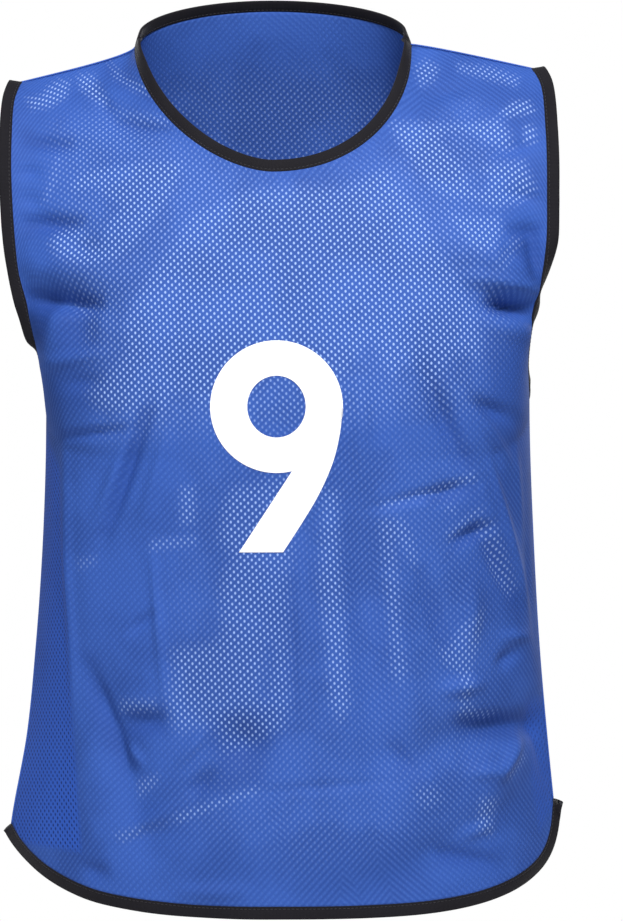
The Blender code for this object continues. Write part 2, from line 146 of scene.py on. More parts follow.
# Folds in millimetres and degrees, placed as seen from the front: the largest, as in the solids, and then the
# finer ones. Positive heights stand out of the cloth.
FOLD_COLUMNS = ("x", "z", "length", "width", "angle", "height")
FRONT_FOLDS = (
    (-172, -182, 70, 13.0, -4, 6.0),
    (-164, -205, 60, 12.0, -6, -6.0),
    (-172, -232, 50, 12.0, 78, 4.0),
    (182, -182, 80, 14.0, -30, 6.0),
    (184, -209, 55, 12.0, -20, -8.0),
    (186, -228, 40, 10.0, -8, 4.5),
    (150, -549, 130, 18.0, 12, -7.5),
    (176, -572, 70, 16.0, 62, 6.0),
    (168, -380, 260, 12.0, -73, 4.5),
    (-152, -470, 340, 18.0, -86, 4.5),
    (-122, -560, 170, 16.0, -72, -6.0),
    (-28, -480, 260, 26.0, -88, 4.5),
    (12, -500, 280, 18.0, 88, -5.0),
    (44, -470, 260, 18.0, -87, 4.0),
    (72, -490, 220, 16.0, -86, -4.5),
    (98, -450, 220, 18.0, -84, 4.0),
    (-112, -66, 80, 14.0, -16, -4.0),
    (-80, -640, 110, 18.0, 20, 4.0),
    (120, -640, 120, 18.0, 28, -5.0),
    # finer ones
    (-168, -210, 48, 6.0, -7, -8.7),
    (-155, -228, 21, 15.9, -1, -5.1),
    (-158, -253, 35, 4.7, 9, 4.6),
    (-153, -271, 23, 5.9, 5, -2.9),
    (-142, -311, 42, 3.3, 5, -3.5),
    (-116, -340, 83, 5.3, 71, -5.8),
    (-128, -348, 49, 4.6, 68, 3.6),
    (-94, -344, 64, 5.3, 74, 3.8),
    (-161, -426, 159, 4.0, -88, 3.5),
    (-92, -460, 84, 3.3, -85, 3.2),
    (-105, -458, 19, 4.6, 38, -3.8),
    (-103, -535, 30, 8.6, 2, -7.0),
    (-132, -533, 64, 5.9, -69, -5.2),
    (-111, -561, 16, 4.0, -49, 3.8),
    (-65, -554, 32, 4.6, 49, 4.6),
    (-26, -551, 26, 17.0, 7, -9.4),
    (-59, -582, 21, 6.5, 41, -4.3),
    (-101, -612, 34, 5.9, 28, 5.2),
    (-139, -652, 17, 5.9, -11, -3.5),
    (-51, -665, 39, 5.9, 1, 4.1),
    (18, -465, 98, 3.3, -89, 3.2),
    (65, -307, 81, 7.9, -89, 4.3),
    (129, -300, 69, 6.5, -66, -5.8),
    (166, -311, 50, 5.3, -57, 4.3),
    (168, -293, 31, 5.9, -21, -5.8),
    (115, -359, 62, 3.9, 14, -4.3),
    (135, -358, 25, 5.9, 13, -3.8),
    (172, -416, 60, 5.9, -65, -7.2),
    (151, -390, 27, 5.3, 24, -5.8),
    (121, -451, 53, 7.9, -67, -4.3),
    (152, -451, 42, 7.9, 87, 4.3),
    (144, -509, 26, 5.9, 6, 5.8),
    (178, -541, 56, 8.6, -4, -7.0),
    (162, -575, 20, 5.9, 0, 5.8),
    (182, -563, 33, 4.7, 56, 5.1),
    (207, -555, 47, 4.8, -80, -4.3),
    (180, -488, 15, 5.4, 38, -4.3),
    (186, -471, 16, 4.0, -4, 3.6),
    (149, -642, 44, 6.5, -15, -5.8),
    (157, -621, 22, 5.3, 15, 3.8),
    (101, -566, 27, 5.9, -48, -3.8),
    (37, -584, 84, 3.2, 4, -2.0),
    (197, -408, 98, 3.3, -85, -3.2),
    (202, -169, 34, 6.7, -84, -7.2),
    (193, -152, 20, 4.7, -4, -4.3),
    (184, -173, 15, 8.0, -3, -3.6),
    (179, -195, 45, 5.3, -10, 7.2),
    (183, -213, 31, 5.3, -7, -10.1),
    (-117, -32, 37, 4.1, -40, -4.3),
    (-139, -46, 29, 4.8, -51, -4.3),
    (-108, -69, 38, 4.7, -11, -4.3),
    (-178, -83, 35, 5.4, -6, -5.8),
    (-176, -147, 38, 7.3, -3, -8.7),
    (-196, -105, 15, 4.0, 0, -4.3),
    (-194, -128, 15, 5.4, -1, -2.9),
    (-151, -167, 22, 6.6, -7, -2.9),
    (130, -41, 36, 4.7, 15, -4.3),
    (190, -85, 33, 4.7, 11, -3.8),
    (194, -125, 29, 4.7, -11, -3.8),
    (179, -383, 95, 3.6, -74, 3.8),
    (193, -372, 75, 3.2, -84, 2.8),
)
BACK_FOLDS = (
    (-166, -186, 80, 14.0, 10, 6.0),
    (-162, -212, 60, 13.0, 6, -7.5),
    (152, -190, 70, 14.0, -12, 6.0),
    (146, -218, 56, 13.0, -6, -7.0),
    (-118, -430, 300, 20.0, -80, 5.5),
    (-78, -500, 320, 20.0, -86, -6.0),
    (-36, -450, 300, 22.0, 88, 4.5),
    (10, -520, 280, 20.0, 90, -5.0),
    (56, -460, 320, 22.0, 86, 5.5),
    (100, -500, 260, 18.0, 82, -5.5),
    (140, -420, 280, 18.0, 78, 5.0),
    (-90, -70, 100, 18.0, 64, -3.5),
    (104, -80, 90, 18.0, -58, -3.0),
    (20, -640, 140, 20.0, -14, 4.5),
    # finer ones
    (-150, -160, 60, 8.0, 24, -2.0),
    (150, -168, 60, 8.0, -22, -1.8),
    (-60, -100, 80, 9.0, 58, -1.6),
    (70, -110, 80, 9.0, -54, 1.6),
    (-140, -380, 160, 9.0, -76, -2.0),
    (-96, -420, 150, 8.0, -82, 1.6),
    (-56, -540, 150, 9.0, -86, 1.8),
    (-12, -480, 160, 8.0, 88, -1.6),
    (34, -560, 150, 9.0, 88, 1.8),
    (78, -440, 160, 9.0, 84, 1.4),
    (120, -470, 150, 8.0, 78, -1.8),
    (160, -520, 110, 9.0, 72, 1.8),
    (-160, -560, 100, 9.0, -66, 1.8),
    (60, -640, 100, 9.0, 12, -1.6),
    (-70, -650, 110, 9.0, -10, 1.6),
)
FOLD_FADE_AT_SEAMS = 14

# Light and shade seen through the net, painted as soft-edged outlines in millimetres as seen from the front:
# positive strengths paint pale holes and paler cloth, negative ones paint holes dark with shade on paler
# cloth
OUTLINE_COLUMNS = ("softness", "strength", "outline")
FRONT_LIGHT = (
    (21, 0.46, ((-133, -55), (-68, -89), (10, -126), (96, -89), (152, -55), (175, -88), (166, -176),
        (174, -231), (150, -293), (18, -309), (-130, -309), (-145, -231), (-162, -176), (-171, -120),
        (-172, -71))),
    (26, 0.13, ((-66, -317), (150, -309), (166, -457), (158, -621), (18, -640), (-66, -611),
        (-82, -456))),
    (10, 0.92, ((-69, -139), (-84, -164), (-101, -185), (-116, -209), (-122, -228), (-120, -248),
        (-137, -268), (-145, -280), (-138, -292), (-111, -300), (-99, -288), (-89, -307), (-79, -284),
        (-69, -283), (-60, -296), (-48, -286), (-28, -267), (26, -267), (53, -273), (60, -259), (72, -245),
        (77, -256), (87, -271), (95, -271), (100, -261), (107, -265), (116, -282), (126, -276),
        (134, -259), (145, -253), (159, -257), (161, -237), (156, -210), (146, -189), (132, -172),
        (121, -148), (113, -132), (101, -120), (88, -103), (80, -104), (49, -118), (10, -118), (-29, -121))),
    (6, 0.92, ((-164, -118), (-157, -107), (-140, -101), (-108, -97), (-74, -97), (-73, -104), (-82, -127),
        (-97, -148), (-111, -167), (-124, -177), (-143, -182), (-158, -180), (-171, -172), (-178, -163),
        (-174, -153), (-165, -148), (-152, -148), (-144, -157), (-139, -161), (-135, -148), (-124, -134),
        (-135, -128), (-144, -120), (-159, -123))),
    (4, 0.78, ((-200, -44), (-188, -42), (-184, -35), (-176, -29), (-166, -30), (-168, -43), (-181, -52),
        (-195, -53))),
    (4, 0.92, ((-160, -25), (-148, -25), (-142, -35), (-135, -45), (-138, -52), (-147, -45), (-157, -36))),
    (4, 0.55, ((-135, -49), (-121, -55), (-101, -59), (-85, -62), (-85, -70), (-109, -67), (-129, -57))),
    (4, 0.69, ((-135, -14), (-122, -27), (-102, -37), (-99, -45), (-114, -39), (-130, -27))),
    (3, 0.46, ((-175, -90), (-169, -91), (-171, -111), (-179, -128), (-186, -130), (-181, -115))),
    (3, 0.46, ((-164, -208), (-142, -216), (-138, -224), (-144, -236), (-152, -241), (-148, -222),
        (-160, -214))),
    (6, 0.92, ((90, -67), (142, -66), (175, -62), (183, -73), (186, -85), (178, -88), (163, -83),
        (153, -76), (134, -74), (129, -80), (136, -88), (147, -100), (153, -118), (161, -120), (165, -111),
        (157, -103), (161, -98), (194, -97), (202, -119), (190, -129), (170, -135), (154, -130),
        (133, -128), (117, -119), (104, -98), (94, -81))),
    (6, 0.92, ((130, -136), (146, -140), (174, -140), (176, -151), (169, -169), (156, -173), (146, -164),
        (136, -148))),
    (3, 0.92, ((175, -57), (186, -48), (199, -47), (204, -57), (191, -59), (181, -61))),
    (3, 0.85, ((195, -67), (203, -68), (204, -81), (194, -81))),
    (4, 0.74, ((109, -20), (119, -13), (128, -19), (124, -31), (113, -35))),
    (4, 0.70, ((143, -16), (169, -18), (192, -27), (190, -35), (168, -29), (144, -22))),
    (4, 0.41, ((165, -175), (185, -157), (193, -159), (177, -184), (168, -187))),
    (9, 0.74, ((-45, -394), (-42, -367), (-34, -353), (-10, -348), (9, -344), (13, -403), (9, -426),
        (10, -486), (11, -521), (6, -539), (-10, -546), (-20, -554), (-34, -556), (-41, -558), (-45, -544),
        (-50, -539), (-62, -539), (-74, -542), (-81, -535), (-85, -521), (-81, -497), (-80, -479),
        (-48, -472), (-43, -464), (-45, -434), (-41, -417), (-35, -408))),
    (3, -0.35, ((-8, -471), (-1, -475), (-5, -517), (-16, -517))),
    (6, 0.74, ((-74, -353), (-63, -353), (-63, -381), (-74, -381))),
    (4, 0.52, ((-98, -395), (-62, -389), (-61, -398), (-98, -402))),
    (3, 0.30, ((-154, -409), (-140, -406), (-140, -413), (-152, -418))),
    (7, 0.74, ((35, -355), (48, -355), (49, -403), (53, -450), (56, -497), (57, -521), (49, -535),
        (40, -521), (37, -474), (31, -426), (33, -391))),
    (6, 0.64, ((78, -379), (84, -376), (98, -377), (104, -388), (109, -410), (105, -417), (98, -403),
        (91, -394), (94, -426), (96, -474), (100, -493), (96, -507), (88, -497), (87, -474), (82, -426),
        (80, -403))),
    (3, 0.69, ((78, -365), (108, -356), (120, -353), (152, -341), (154, -348), (123, -359), (111, -361),
        (82, -370))),
    (3, 0.55, ((129, -389), (156, -368), (160, -372), (134, -397))),
    (3, 0.46, ((130, -365), (141, -368), (139, -375), (130, -372))),
    (4, 0.50, ((155, -376), (168, -380), (186, -432), (182, -440), (168, -420))),
    (4, 0.64, ((123, -475), (132, -479), (142, -460), (161, -447), (157, -475), (152, -494), (150, -518),
        (157, -528), (174, -530), (169, -533), (142, -532), (141, -498), (130, -491))),
    (4, 0.55, ((-122, -518), (-94, -517), (-93, -526), (-124, -528))),
    (4, 0.55, ((-110, -581), (-92, -575), (-93, -582), (-108, -593))),
    (4, 0.62, ((-80, -606), (-48, -594), (-14, -582), (-14, -589), (-46, -600), (-76, -612))),
    (4, 0.48, ((-126, -622), (-104, -615), (-104, -621), (-120, -628))),
    (5, 0.15, ((-104, -615), (-80, -606), (-76, -612), (-104, -622))),
    (7, 0.46, ((106, -585), (123, -583), (130, -596), (115, -604), (106, -595))),
    (6, 0.83, ((157, -595), (169, -598), (168, -624), (157, -621))),
    (4, 0.46, ((174, -579), (192, -561), (195, -567), (179, -583))),
    (16, 0.15, ((-10, -591), (108, -593), (108, -626), (-10, -624))),
    (3, -0.90, ((-186, -306), (-178, -322), (-168, -340), (-162, -410), (-159, -520), (-152, -637),
        (-213, -635), (-198, -524), (-191, -412))),
    (4, -0.50, ((198, -522), (213, -523), (222, -604), (208, -626), (201, -585))),
)
BACK_LIGHT = (
    (26, 0.34, ((-160, -60), (-60, -20), (60, -20), (160, -60), (150, -200), (130, -290), (-130, -290),
        (-150, -200))),
    (34, 0.20, ((-130, -320), (130, -320), (140, -460), (130, -620), (-130, -620), (-140, -460))),
    (9, 0.74, ((-142, -70), (-104, -60), (-70, -86), (-36, -78), (-20, -102), (-50, -132), (-38, -162),
        (-74, -188), (-100, -176), (-126, -210), (-150, -188), (-138, -150), (-158, -118))),
    (9, 0.74, ((132, -62), (98, -78), (66, -62), (30, -88), (10, -124), (42, -146), (24, -182), (62, -192),
        (84, -226), (116, -204), (144, -216), (150, -170), (132, -136), (152, -100))),
    (7, 0.74, ((-188, -46), (-160, -36), (-150, -52), (-170, -66))),
    (7, 0.74, ((184, -58), (156, -48), (148, -64), (170, -76))),
    (12, 0.60, ((-112, -236), (-64, -218), (-18, -240), (34, -216), (100, -234), (116, -268), (84, -306),
        (48, -272), (10, -322), (-34, -280), (-70, -316), (-104, -276))),
    (15, 0.86, ((34, -446), (58, -408), (80, -440), (96, -504), (86, -548), (68, -590), (46, -562),
        (30, -584), (20, -508))),
    (9, 0.80, ((-60, -380), (-50, -420), (-46, -480), (-56, -572), (-66, -520), (-70, -450))),
    (9, 0.60, ((-108, -424), (-98, -470), (-104, -530), (-112, -566), (-120, -510))),
    (6, 0.55, ((118, -600), (156, -588), (150, -600), (122, -612))),
    (14, 0.18, ((-90, -610), (60, -606), (66, -650), (-80, -654))),
    (9, -0.55, ((214, -330), (194, -346), (184, -420), (188, -560), (198, -610), (236, -640), (224, -460))),
    (9, -0.55, ((-206, -350), (-188, -366), (-184, -480), (-196, -590), (-232, -620), (-220, -460))),
)

# Painted shade in and under the folds: outlines of the same kind where the cloth is painted darker
FRONT_SHADE = (
    (9, 0.80, ((-55, -526), (-4, -523), (-1, -548), (-11, -580), (-34, -587), (-59, -594), (-67, -583),
        (-48, -563))),
    (7, 0.65, ((-120, -522), (-86, -519), (-84, -545), (-106, -551), (-124, -546))),
    (7, 0.50, ((-154, -481), (-141, -484), (-120, -550), (-112, -574), (-122, -577), (-146, -527))),
    (5, 0.60, ((-106, -289), (-92, -290), (-98, -317), (-116, -363), (-131, -394), (-139, -387),
        (-123, -348))),
    (3, 0.50, ((-169, -307), (-117, -304), (-117, -313), (-169, -316))),
    (8, 0.50, ((105, -251), (120, -247), (154, -332), (149, -348), (126, -309))),
    (6, 0.50, ((148, -282), (187, -285), (188, -304), (154, -301))),
    (4, 0.60, ((115, -361), (155, -346), (158, -363), (119, -368))),
    (6, 0.75, ((132, -406), (150, -379), (171, -375), (191, -442), (188, -458), (174, -434), (158, -398))),
    (7, 0.75, ((138, -529), (165, -532), (200, -527), (214, -520), (216, -546), (178, -553), (148, -548))),
    (8, 0.40, ((103, -417), (115, -411), (138, -480), (130, -491))),
    (6, 0.45, ((194, -340), (204, -340), (219, -540), (222, -604), (209, -602), (200, -475))),
    (9, 0.60, ((161, -231), (197, -230), (196, -340), (166, -316))),
    (8, 0.50, ((125, -632), (179, -635), (174, -655), (130, -647))),
    (6, 0.40, ((-154, -640), (-131, -641), (-125, -657), (-144, -659))),
    (8, 0.35, ((92, -552), (114, -557), (111, -587), (94, -579))),
    (12, 0.35, ((126, -346), (184, -344), (186, -450), (150, -440), (132, -400))),
    (8, 0.45, ((-179, -210), (-138, -211), (-139, -247), (-169, -248))),
    (4, 0.95, ((-199, -199), (-170, -194), (-135, -203), (-134, -214), (-170, -209), (-181, -233),
        (-194, -216))),
    (5, 1.15, ((-200, -196), (-180, -196), (-166, -203), (-174, -212), (-177, -232), (-181, -246),
        (-190, -240), (-198, -216))),
    (9, 0.40, ((-180, -261), (-129, -264), (-134, -293), (-180, -293))),
    (4, 0.95, ((165, -204), (201, -208), (203, -220), (166, -217))),
    (5, 0.75, ((181, -149), (206, -148), (209, -194), (195, -191), (185, -168))),
    (6, 0.50, ((-201, -74), (-162, -78), (-162, -89), (-200, -87))),
    (6, 0.65, ((-199, -139), (-151, -141), (-162, -158), (-197, -156))),
    (4, 0.55, ((-136, -14), (-124, -23), (-99, -43), (-101, -50), (-125, -37), (-139, -21))),
    (5, 0.45, ((-154, -32), (-141, -38), (-126, -60), (-84, -66), (-84, -76), (-126, -69))),
)
BACK_SHADE = (
    (8, 0.60, ((-196, -206), (-130, -206), (-134, -226), (-196, -224))),
    (8, 0.60, ((190, -210), (126, -212), (130, -232), (190, -230))),
    (12, 0.60, ((20, -560), (76, -566), (80, -600), (60, -640), (30, -640), (10, -600))),
    (10, 0.50, ((-96, -330), (-80, -334), (-62, -430), (-76, -440), (-92, -380))),
    (10, 0.50, ((96, -420), (110, -424), (104, -540), (92, -540))),
    (9, 0.45, ((-130, -560), (-90, -566), (-92, -590), (-128, -586))),
    (8, 0.40, ((-150, -90), (-100, -86), (-102, -100), (-150, -104))),
    (8, 0.40, ((150, -96), (104, -92), (106, -106), (150, -110))),
)

# Steepest slope that the cloth's flat map follows, and the least that a normal there points ahead
STEEPEST = 1.5
LEAST_AHEAD = 0.001

# Places outside the openings, towards which their bindings stand
OUTSIDE = {"neck": (0, 0, 0.2), "left_armhole": (-0.5, 0, -0.13), "right_armhole": (0.5, 0, -0.13)}

# How far bindings lean out of the cloth's own plane, and the heights between which the armholes' ones do
ARM_LEAN = 1.6
ARM_LEAN_HEIGHTS = (-0.300, -0.252, -0.232, -0.190, -0.120)
ARM_TUCK = 2.5
ARM_TUCK_HEIGHTS = (-0.320, -0.275, -0.262, -0.205, -0.150)
NECK_LEAN = 0.5

# Profiles, the sizes of the rings that round off an open end, and stitches
PROFILE_POINTS = 32
CAP_SCALES = (0.001, 0.55, 0.86, 1.0)
BINDING_SQUARENESS = 3.4
SEAM_SQUARENESS = 2.2
GROOVE_DEPTH = 0.22
GROOVE_WIDTH = 0.0008
STITCH_FROM_EDGE = 0.0020
STITCH_LENGTH = 0.0025
STITCH_THICKNESS = 0.0006
STITCH_RINGS = 6
STITCH_SIDES = 6

# Distances within which points of one piece are made one
BAND_MERGE = 0.00003
STITCH_MERGE = 0.000012
PRINT_MERGE = 0.00002

# Where the edge of a hole in the net starts and ends, in shares of the hole's half size
HOLE_EDGE = (0.45, 1.35)

# Upright bands in which the rows of yarn lean one way: the stretch and scale of the bands' noise, what it
# loses for each metre to the right, and the values between which the lean turns
ROW_BANDS = (1.0, 0.22, 1.0)
ROW_BAND_SCALE = 32.0
ROW_TURN_ACROSS = 2.0
ROW_TURN = (0.38, 0.46)

# Finishes of the cloth. The washes are painted light and shade, each with the colour it adds and its share
# where its tone is strongest: pale paints light, deep paints fold shade, dark lightens around dark holes
SHEEN_ROUGHNESS = 0.35
DYE_SHADES = (0.36, 0.62)
YARN_SHARE = 0.46
YARN_LOST_TO_LIGHT = 0.20
PAINTED_LIGHT_AND_SHADE = (
    ("pale", 0.15, (0.085, 0.180, 0.55, 1.0)),
    ("deep", 0.52, (0.013, 0.041, 0.21, 1.0)),
    ("dark", 0.75, (0.032, 0.112, 0.56, 1.0)),
)
# Painted light and shade seen through the holes: how strongly pale holes show, the faint paleness of all
# holes, and the spread and colour of holes painted dark with shade
PALE_HOLES = 0.92
DIM_HOLES = 0.015
DARK_HOLE_SPREAD = 0.55
DARK_HOLE_COLOUR = (0.006, 0.018, 0.12, 1.0)

# Finishes of the tapes: the spacing of their ribs, and the weft's spacing, the pale crests and the relief
BINDING_RIBS = 0.0011
SEAM_RIBS = 0.0016
WEFT_SHARE = 0.7
CREST_SHARE = 0.30
WEAVE_HEIGHT = 0.4

# Floor, lamps with the setting that holds the power of each, and camera
FLOOR_RADIUS = 2.1
FLOOR_HEIGHT = -0.95
FLOOR_SIDES = 96
LAMP_COLUMNS = ("name", "x", "y", "z", "size", "power")
LAMPS = (
    ("key_light", 0.42, -1.95, 1.85, 0.9, "key_power"),
    ("fill_light", -1.70, -2.50, 0.20, 1.8, "fill_power"),
    ("rear_left_light", -1.80, 2.20, 1.10, 1.6, "rear_power"),
    ("rear_right_light", 1.60, 2.40, 0.60, 1.6, "rear_power"),
)
LAMP_AIM_HEIGHT = -0.33
CAMERA_AIM = (0.0268, -0.3324)

# Number, measured from the middle of its ring: the ring's radii, the tail's left corner, and the tail's right
# edge from the ring down to its foot
NUMBER_CENTRE = (-0.0002, -0.2908)
RING_OUTER = (0.0512, 0.0512)
RING_INNER = (0.0226, 0.0239)
RING_STEPS = 160
RING_ACROSS = 8
TAIL_ARC_STEPS = 34
TAIL_LINE_STEPS = 36
TAIL_FOOT_LEFT = (-0.0289, -0.1124)
TAIL_RIGHT_COLUMNS = ("x", "z")
TAIL_RIGHT = (
    (0.0512, 0.0000),
    (0.0487, -0.0216),
    (0.0434, -0.0432),
    (0.0382, -0.0563),
    (0.0305, -0.0720),
    (0.0212, -0.0875),
    (0.0050, -0.1124),
)
TAIL_ACROSS = 10
PRINT_LIFT = 0.00025
LAYING_ROUNDS = 14


# Form of the garment


def column_of(table, names, name):
    """One named column of a table, as an array."""
    return np.array([row[names.index(name)] for row in table], float)


def smoothed(share):
    """A share from 0 to 1 with a level start and end: three times its square less twice its cube."""
    return share**2 * (3 - 2 * share)


def lengths_along(points):
    """Distance of each point of a path from its start, along its straight steps."""
    return np.concatenate([[0], np.cumsum(np.linalg.norm(np.diff(points, axis=0), axis=1))])


def closed_up(points):
    """A path with its first point repeated at its end."""
    return np.concatenate([points, points[:1]])


def cubic(first, leaving, last, arriving, t):
    """Cubic curve from a first to a last value at shares t, with the slopes at its two ends."""
    return (
        first * (1 + 2 * t) * (1 - t) ** 2
        + leaving * t * (1 - t) ** 2
        + last * t**2 * (3 - 2 * t)
        + arriving * t**2 * (t - 1)
    )


def smooth_through(knots, values, at):
    """A cubic curve through the values at ascending knots, read at any places between them."""
    slopes = np.gradient(values, knots)
    i = np.clip(np.searchsorted(knots, at) - 1, 0, len(knots) - 2)
    step = knots[i + 1] - knots[i]
    t = (at - knots[i]) / step
    return cubic(values[i], slopes[i] * step, values[i + 1], slopes[i + 1] * step, t)


def ring_size(name, z):
    """A size of the body tube at height z."""
    return smooth_through(column_of(RINGS, RING_COLUMNS, "z"), column_of(RINGS, RING_COLUMNS, name), z)


def by_side(turn, sizes):
    """The left or right value of a size, by which side of the centre line turn is on."""
    return np.where(turn < 0, sizes["left"], sizes["right"])


def tube_point(turn, z, face):
    """Point of the body tube: a squared-off ellipse at height z, drawn to a crease at the side seams."""
    angle = np.abs(turn) * np.pi / 2
    across = (np.sin(angle) + RING_SQUARENESS * np.sin(3 * angle)) / (1 - RING_SQUARENESS)
    deep = (np.cos(angle) - RING_SQUARENESS * np.cos(3 * angle)) / (1 - RING_SQUARENESS)
    crease = ring_size("crease", z)
    half = by_side(turn, {side: ring_size(side, z) for side in ("left", "right")})
    x = np.sign(turn) * half * ((1 - crease) * across + crease * np.abs(turn))
    y = face * ring_size(FACE_NAMES[face], z) * deep
    return np.stack([x, y, z], -1)


def hem_height(turn):
    """Height of the hem's cloth edge: lowest at the centre line, rising to the side seams."""
    size = np.abs(turn)
    curve = by_side(turn, HEM_RISE) * size ** by_side(turn, HEM_BEND)
    return -HEM_LENGTH + curve + by_side(turn, HEM_CORNER_RISE) * size**HEM_CORNER_BEND


def neck_edge(share, side, face):
    """Neck edge from the centre line, share 0, to the shoulder seam, share 1."""
    angle = share * np.pi / 2
    if face == FRONT:
        power = 2 / NECK_ROUNDNESS["left" if side < 0 else "right"]
        x = NECK_HALF_WIDTH * np.sin(angle) ** power
        y = -NECK_FORWARD * np.cos(angle) ** NECK_FORWARD_BEND
        z = -NECK_DROP * np.cos(angle) ** power
    else:
        x = NECK_HALF_WIDTH * np.sin(angle)
        y = NAPE_BACK * np.cos(angle)
        z = NAPE_RISE * np.cos(angle)
    return np.stack([NECK_SHIFT + side * x, y, z], -1)


def armhole_edge(share, side, face):
    """Armhole edge from the shoulder tip, share 0, to the side seam, share 1, evenly along its curve."""
    z, half, depth = (
        column_of(ARMHOLE, ARMHOLE_TABLE_COLUMNS, name)
        for name in ("z", "left" if side < 0 else "right", FACE_NAMES[face])
    )
    corners = np.stack([side * half, face * depth, z], -1)
    other_panel = np.array([1, -1, 1])
    corners = np.concatenate([corners[1:2] * other_panel, corners, corners[-2:-1] * other_panel])
    along = lengths_along(corners)
    at = along[1] + share * (along[-2] - along[1])
    return np.stack([smooth_through(along, corners[:, axis], at) for axis in range(3)], -1)


def shoulder_edge(share, side):
    """Shoulder seam from the neck, share 0, to the shoulder tip, share 1."""
    name = "left" if side < 0 else "right"
    tip = column_of(ARMHOLE, ARMHOLE_TABLE_COLUMNS, name)[0]
    neck_x = NECK_SHIFT + side * NECK_HALF_WIDTH
    x = neck_x + (side * tip - neck_x) * share
    return np.stack([x, 0 * share, -SHOULDER_DROP * share ** SHOULDER_DIP[name]], -1)


def top_edge(turn, face):
    """Points of a panel's top edge, which is the neck edge up to TURN_AT_NECK and then the shoulder seam."""
    points = np.zeros((len(turn), 3))
    size = np.abs(turn)
    for side in (-1, 1):
        here = (turn < 0) if side < 0 else (turn >= 0)
        neck = here & (size <= TURN_AT_NECK)
        seam = here & (size > TURN_AT_NECK)
        points[neck] = neck_edge(size[neck] / TURN_AT_NECK, side, face)
        points[seam] = shoulder_edge((size[seam] - TURN_AT_NECK) / (1 - TURN_AT_NECK), side)
    return points


def tilted(points):
    """Points with the left shoulder lowered and the right one raised, fading out down to the armpits."""
    armpit = column_of(ARMHOLE, ARMHOLE_TABLE_COLUMNS, "z")[-1]
    tip = column_of(ARMHOLE, ARMHOLE_TABLE_COLUMNS, "left")[0]
    fade = np.clip(1 - points[..., 2] / armpit, 0, 1)
    lift = SHOULDER_TILT * (points[..., 0] / tip) ** 3 * fade
    return points + lift[..., None] * np.array([0, 0, 1])


def eased(points):
    """Points of a panel with its yoke slackened: each pass draws inner points to their neighbours' mean."""
    points = points.copy()
    ease = np.clip((np.arange(1, len(points) - 1) - BODY_ROWS) / YOKE_ROWS, 0, 1)[:, None, None]
    for _ in range(EASE_PASSES):
        mean = (points[:-2, 1:-1] + points[2:, 1:-1] + points[1:-1, :-2] + points[1:-1, 2:]) / 4
        points[1:-1, 1:-1] += (mean - points[1:-1, 1:-1]) * ease
    return points


def evened(path, rows):
    """Each column of a sampled path, read again at rows + 1 points an even distance apart."""
    steps = np.linalg.norm(np.diff(path, axis=0), axis=2)
    along = np.concatenate([np.zeros((1, path.shape[1])), np.cumsum(steps, axis=0)])
    result = np.empty((rows + 1, path.shape[1], 3))
    for column in range(path.shape[1]):
        wanted = np.linspace(0, along[-1, column], rows + 1)
        for axis in range(3):
            result[:, column, axis] = np.interp(wanted, along[:, column], path[:, column, axis])
    return result


def panel_turns():
    """Turns of a panel's columns, with one exactly at each end of the neck edge."""
    half = np.concatenate(
        [
            np.linspace(0, TURN_AT_NECK, NECK_COLUMNS + 1),
            np.linspace(TURN_AT_NECK, 1, SHOULDER_COLUMNS + 1)[1:],
        ]
    )
    return np.concatenate([-half[:0:-1], half])


def arrival(turn, face):
    """Unit directions in which a panel's columns reach its top edge."""
    knots = column_of(ARRIVAL, ARRIVAL_COLUMNS, "turn")
    lean, inward = (
        np.radians(smooth_through(knots, column_of(ARRIVAL, ARRIVAL_COLUMNS, name), np.abs(turn)))
        for name in (FACE_NAMES[face], "inward")
    )
    x = -np.sign(turn) * np.sin(inward)
    y = -face * np.sin(lean) * np.cos(inward)
    z = np.cos(lean) * np.cos(inward)
    return np.stack([x, y, z], -1)


def smooth_panel(turn, face):
    """Grid of points of a panel without folds: rows from hem to top edge, columns from left to right.

    Each column climbs the body tube from the hem to the tube's top line, which ends at the armpits. From
    there it follows one cubic curve to the top edge. The outermost columns are pulled onto the armhole's
    edge, and the others follow them by the ARMHOLE_PULL power of their turn.
    """
    armpit = column_of(ARMHOLE, ARMHOLE_TABLE_COLUMNS, "z")[-1]
    hem = hem_height(turn)
    top_line = armpit - TOP_LINE_DIP * (1 - np.abs(turn) ** TOP_LINE_BEND)
    levels = np.linspace(0, 1, BODY_ROWS + 1)[:, None]
    body = tube_point(turn[None, :], hem + (top_line - hem) * levels, face)

    low, high = body[-1], top_edge(turn, face)
    chord = np.linalg.norm(high - low, axis=1)[:, None]
    rise = low - tube_point(turn, top_line - RISE_STEP, face)
    start = rise / np.linalg.norm(rise, axis=1)[:, None] * chord * PULL_AT_TUBE
    end = arrival(turn, face) * chord * PULL_AT_EDGE
    share = np.linspace(0, 1, YOKE_SAMPLES)
    t = share[:, None, None]
    yoke = cubic(low, start, high, end, t)
    pulled = yoke.copy()
    for side, outermost in ((-1, 0), (1, -1)):
        here = side * turn > 0
        pull = armhole_edge(1 - share, side, face) - yoke[:, outermost]
        pulled[:, here] += pull[:, None] * (np.abs(turn[here]) ** ARMHOLE_PULL)[None, :, None]
    return eased(tilted(np.concatenate([body, evened(pulled, YOKE_ROWS)[1:]])))


def fold_height(points, folds):
    """Sum of the folds at each point. Each is a bell across its line that tapers along it."""
    x, z = points[..., 0] / MILLIMETRE, points[..., 2] / MILLIMETRE
    total = np.zeros(points.shape[:-1])
    for row in folds:
        fold = dict(zip(FOLD_COLUMNS, row))
        direction = np.radians(fold["angle"])
        dx, dz = x - fold["x"], z - fold["z"]
        along = dx * np.cos(direction) + dz * np.sin(direction)
        across = dz * np.cos(direction) - dx * np.sin(direction)
        taper = np.cos(np.clip(along / fold["length"], -1, 1) * np.pi / 2) ** 2
        total += fold["height"] * taper * np.exp(-((across / fold["width"]) ** 2))
    return total * MILLIMETRE


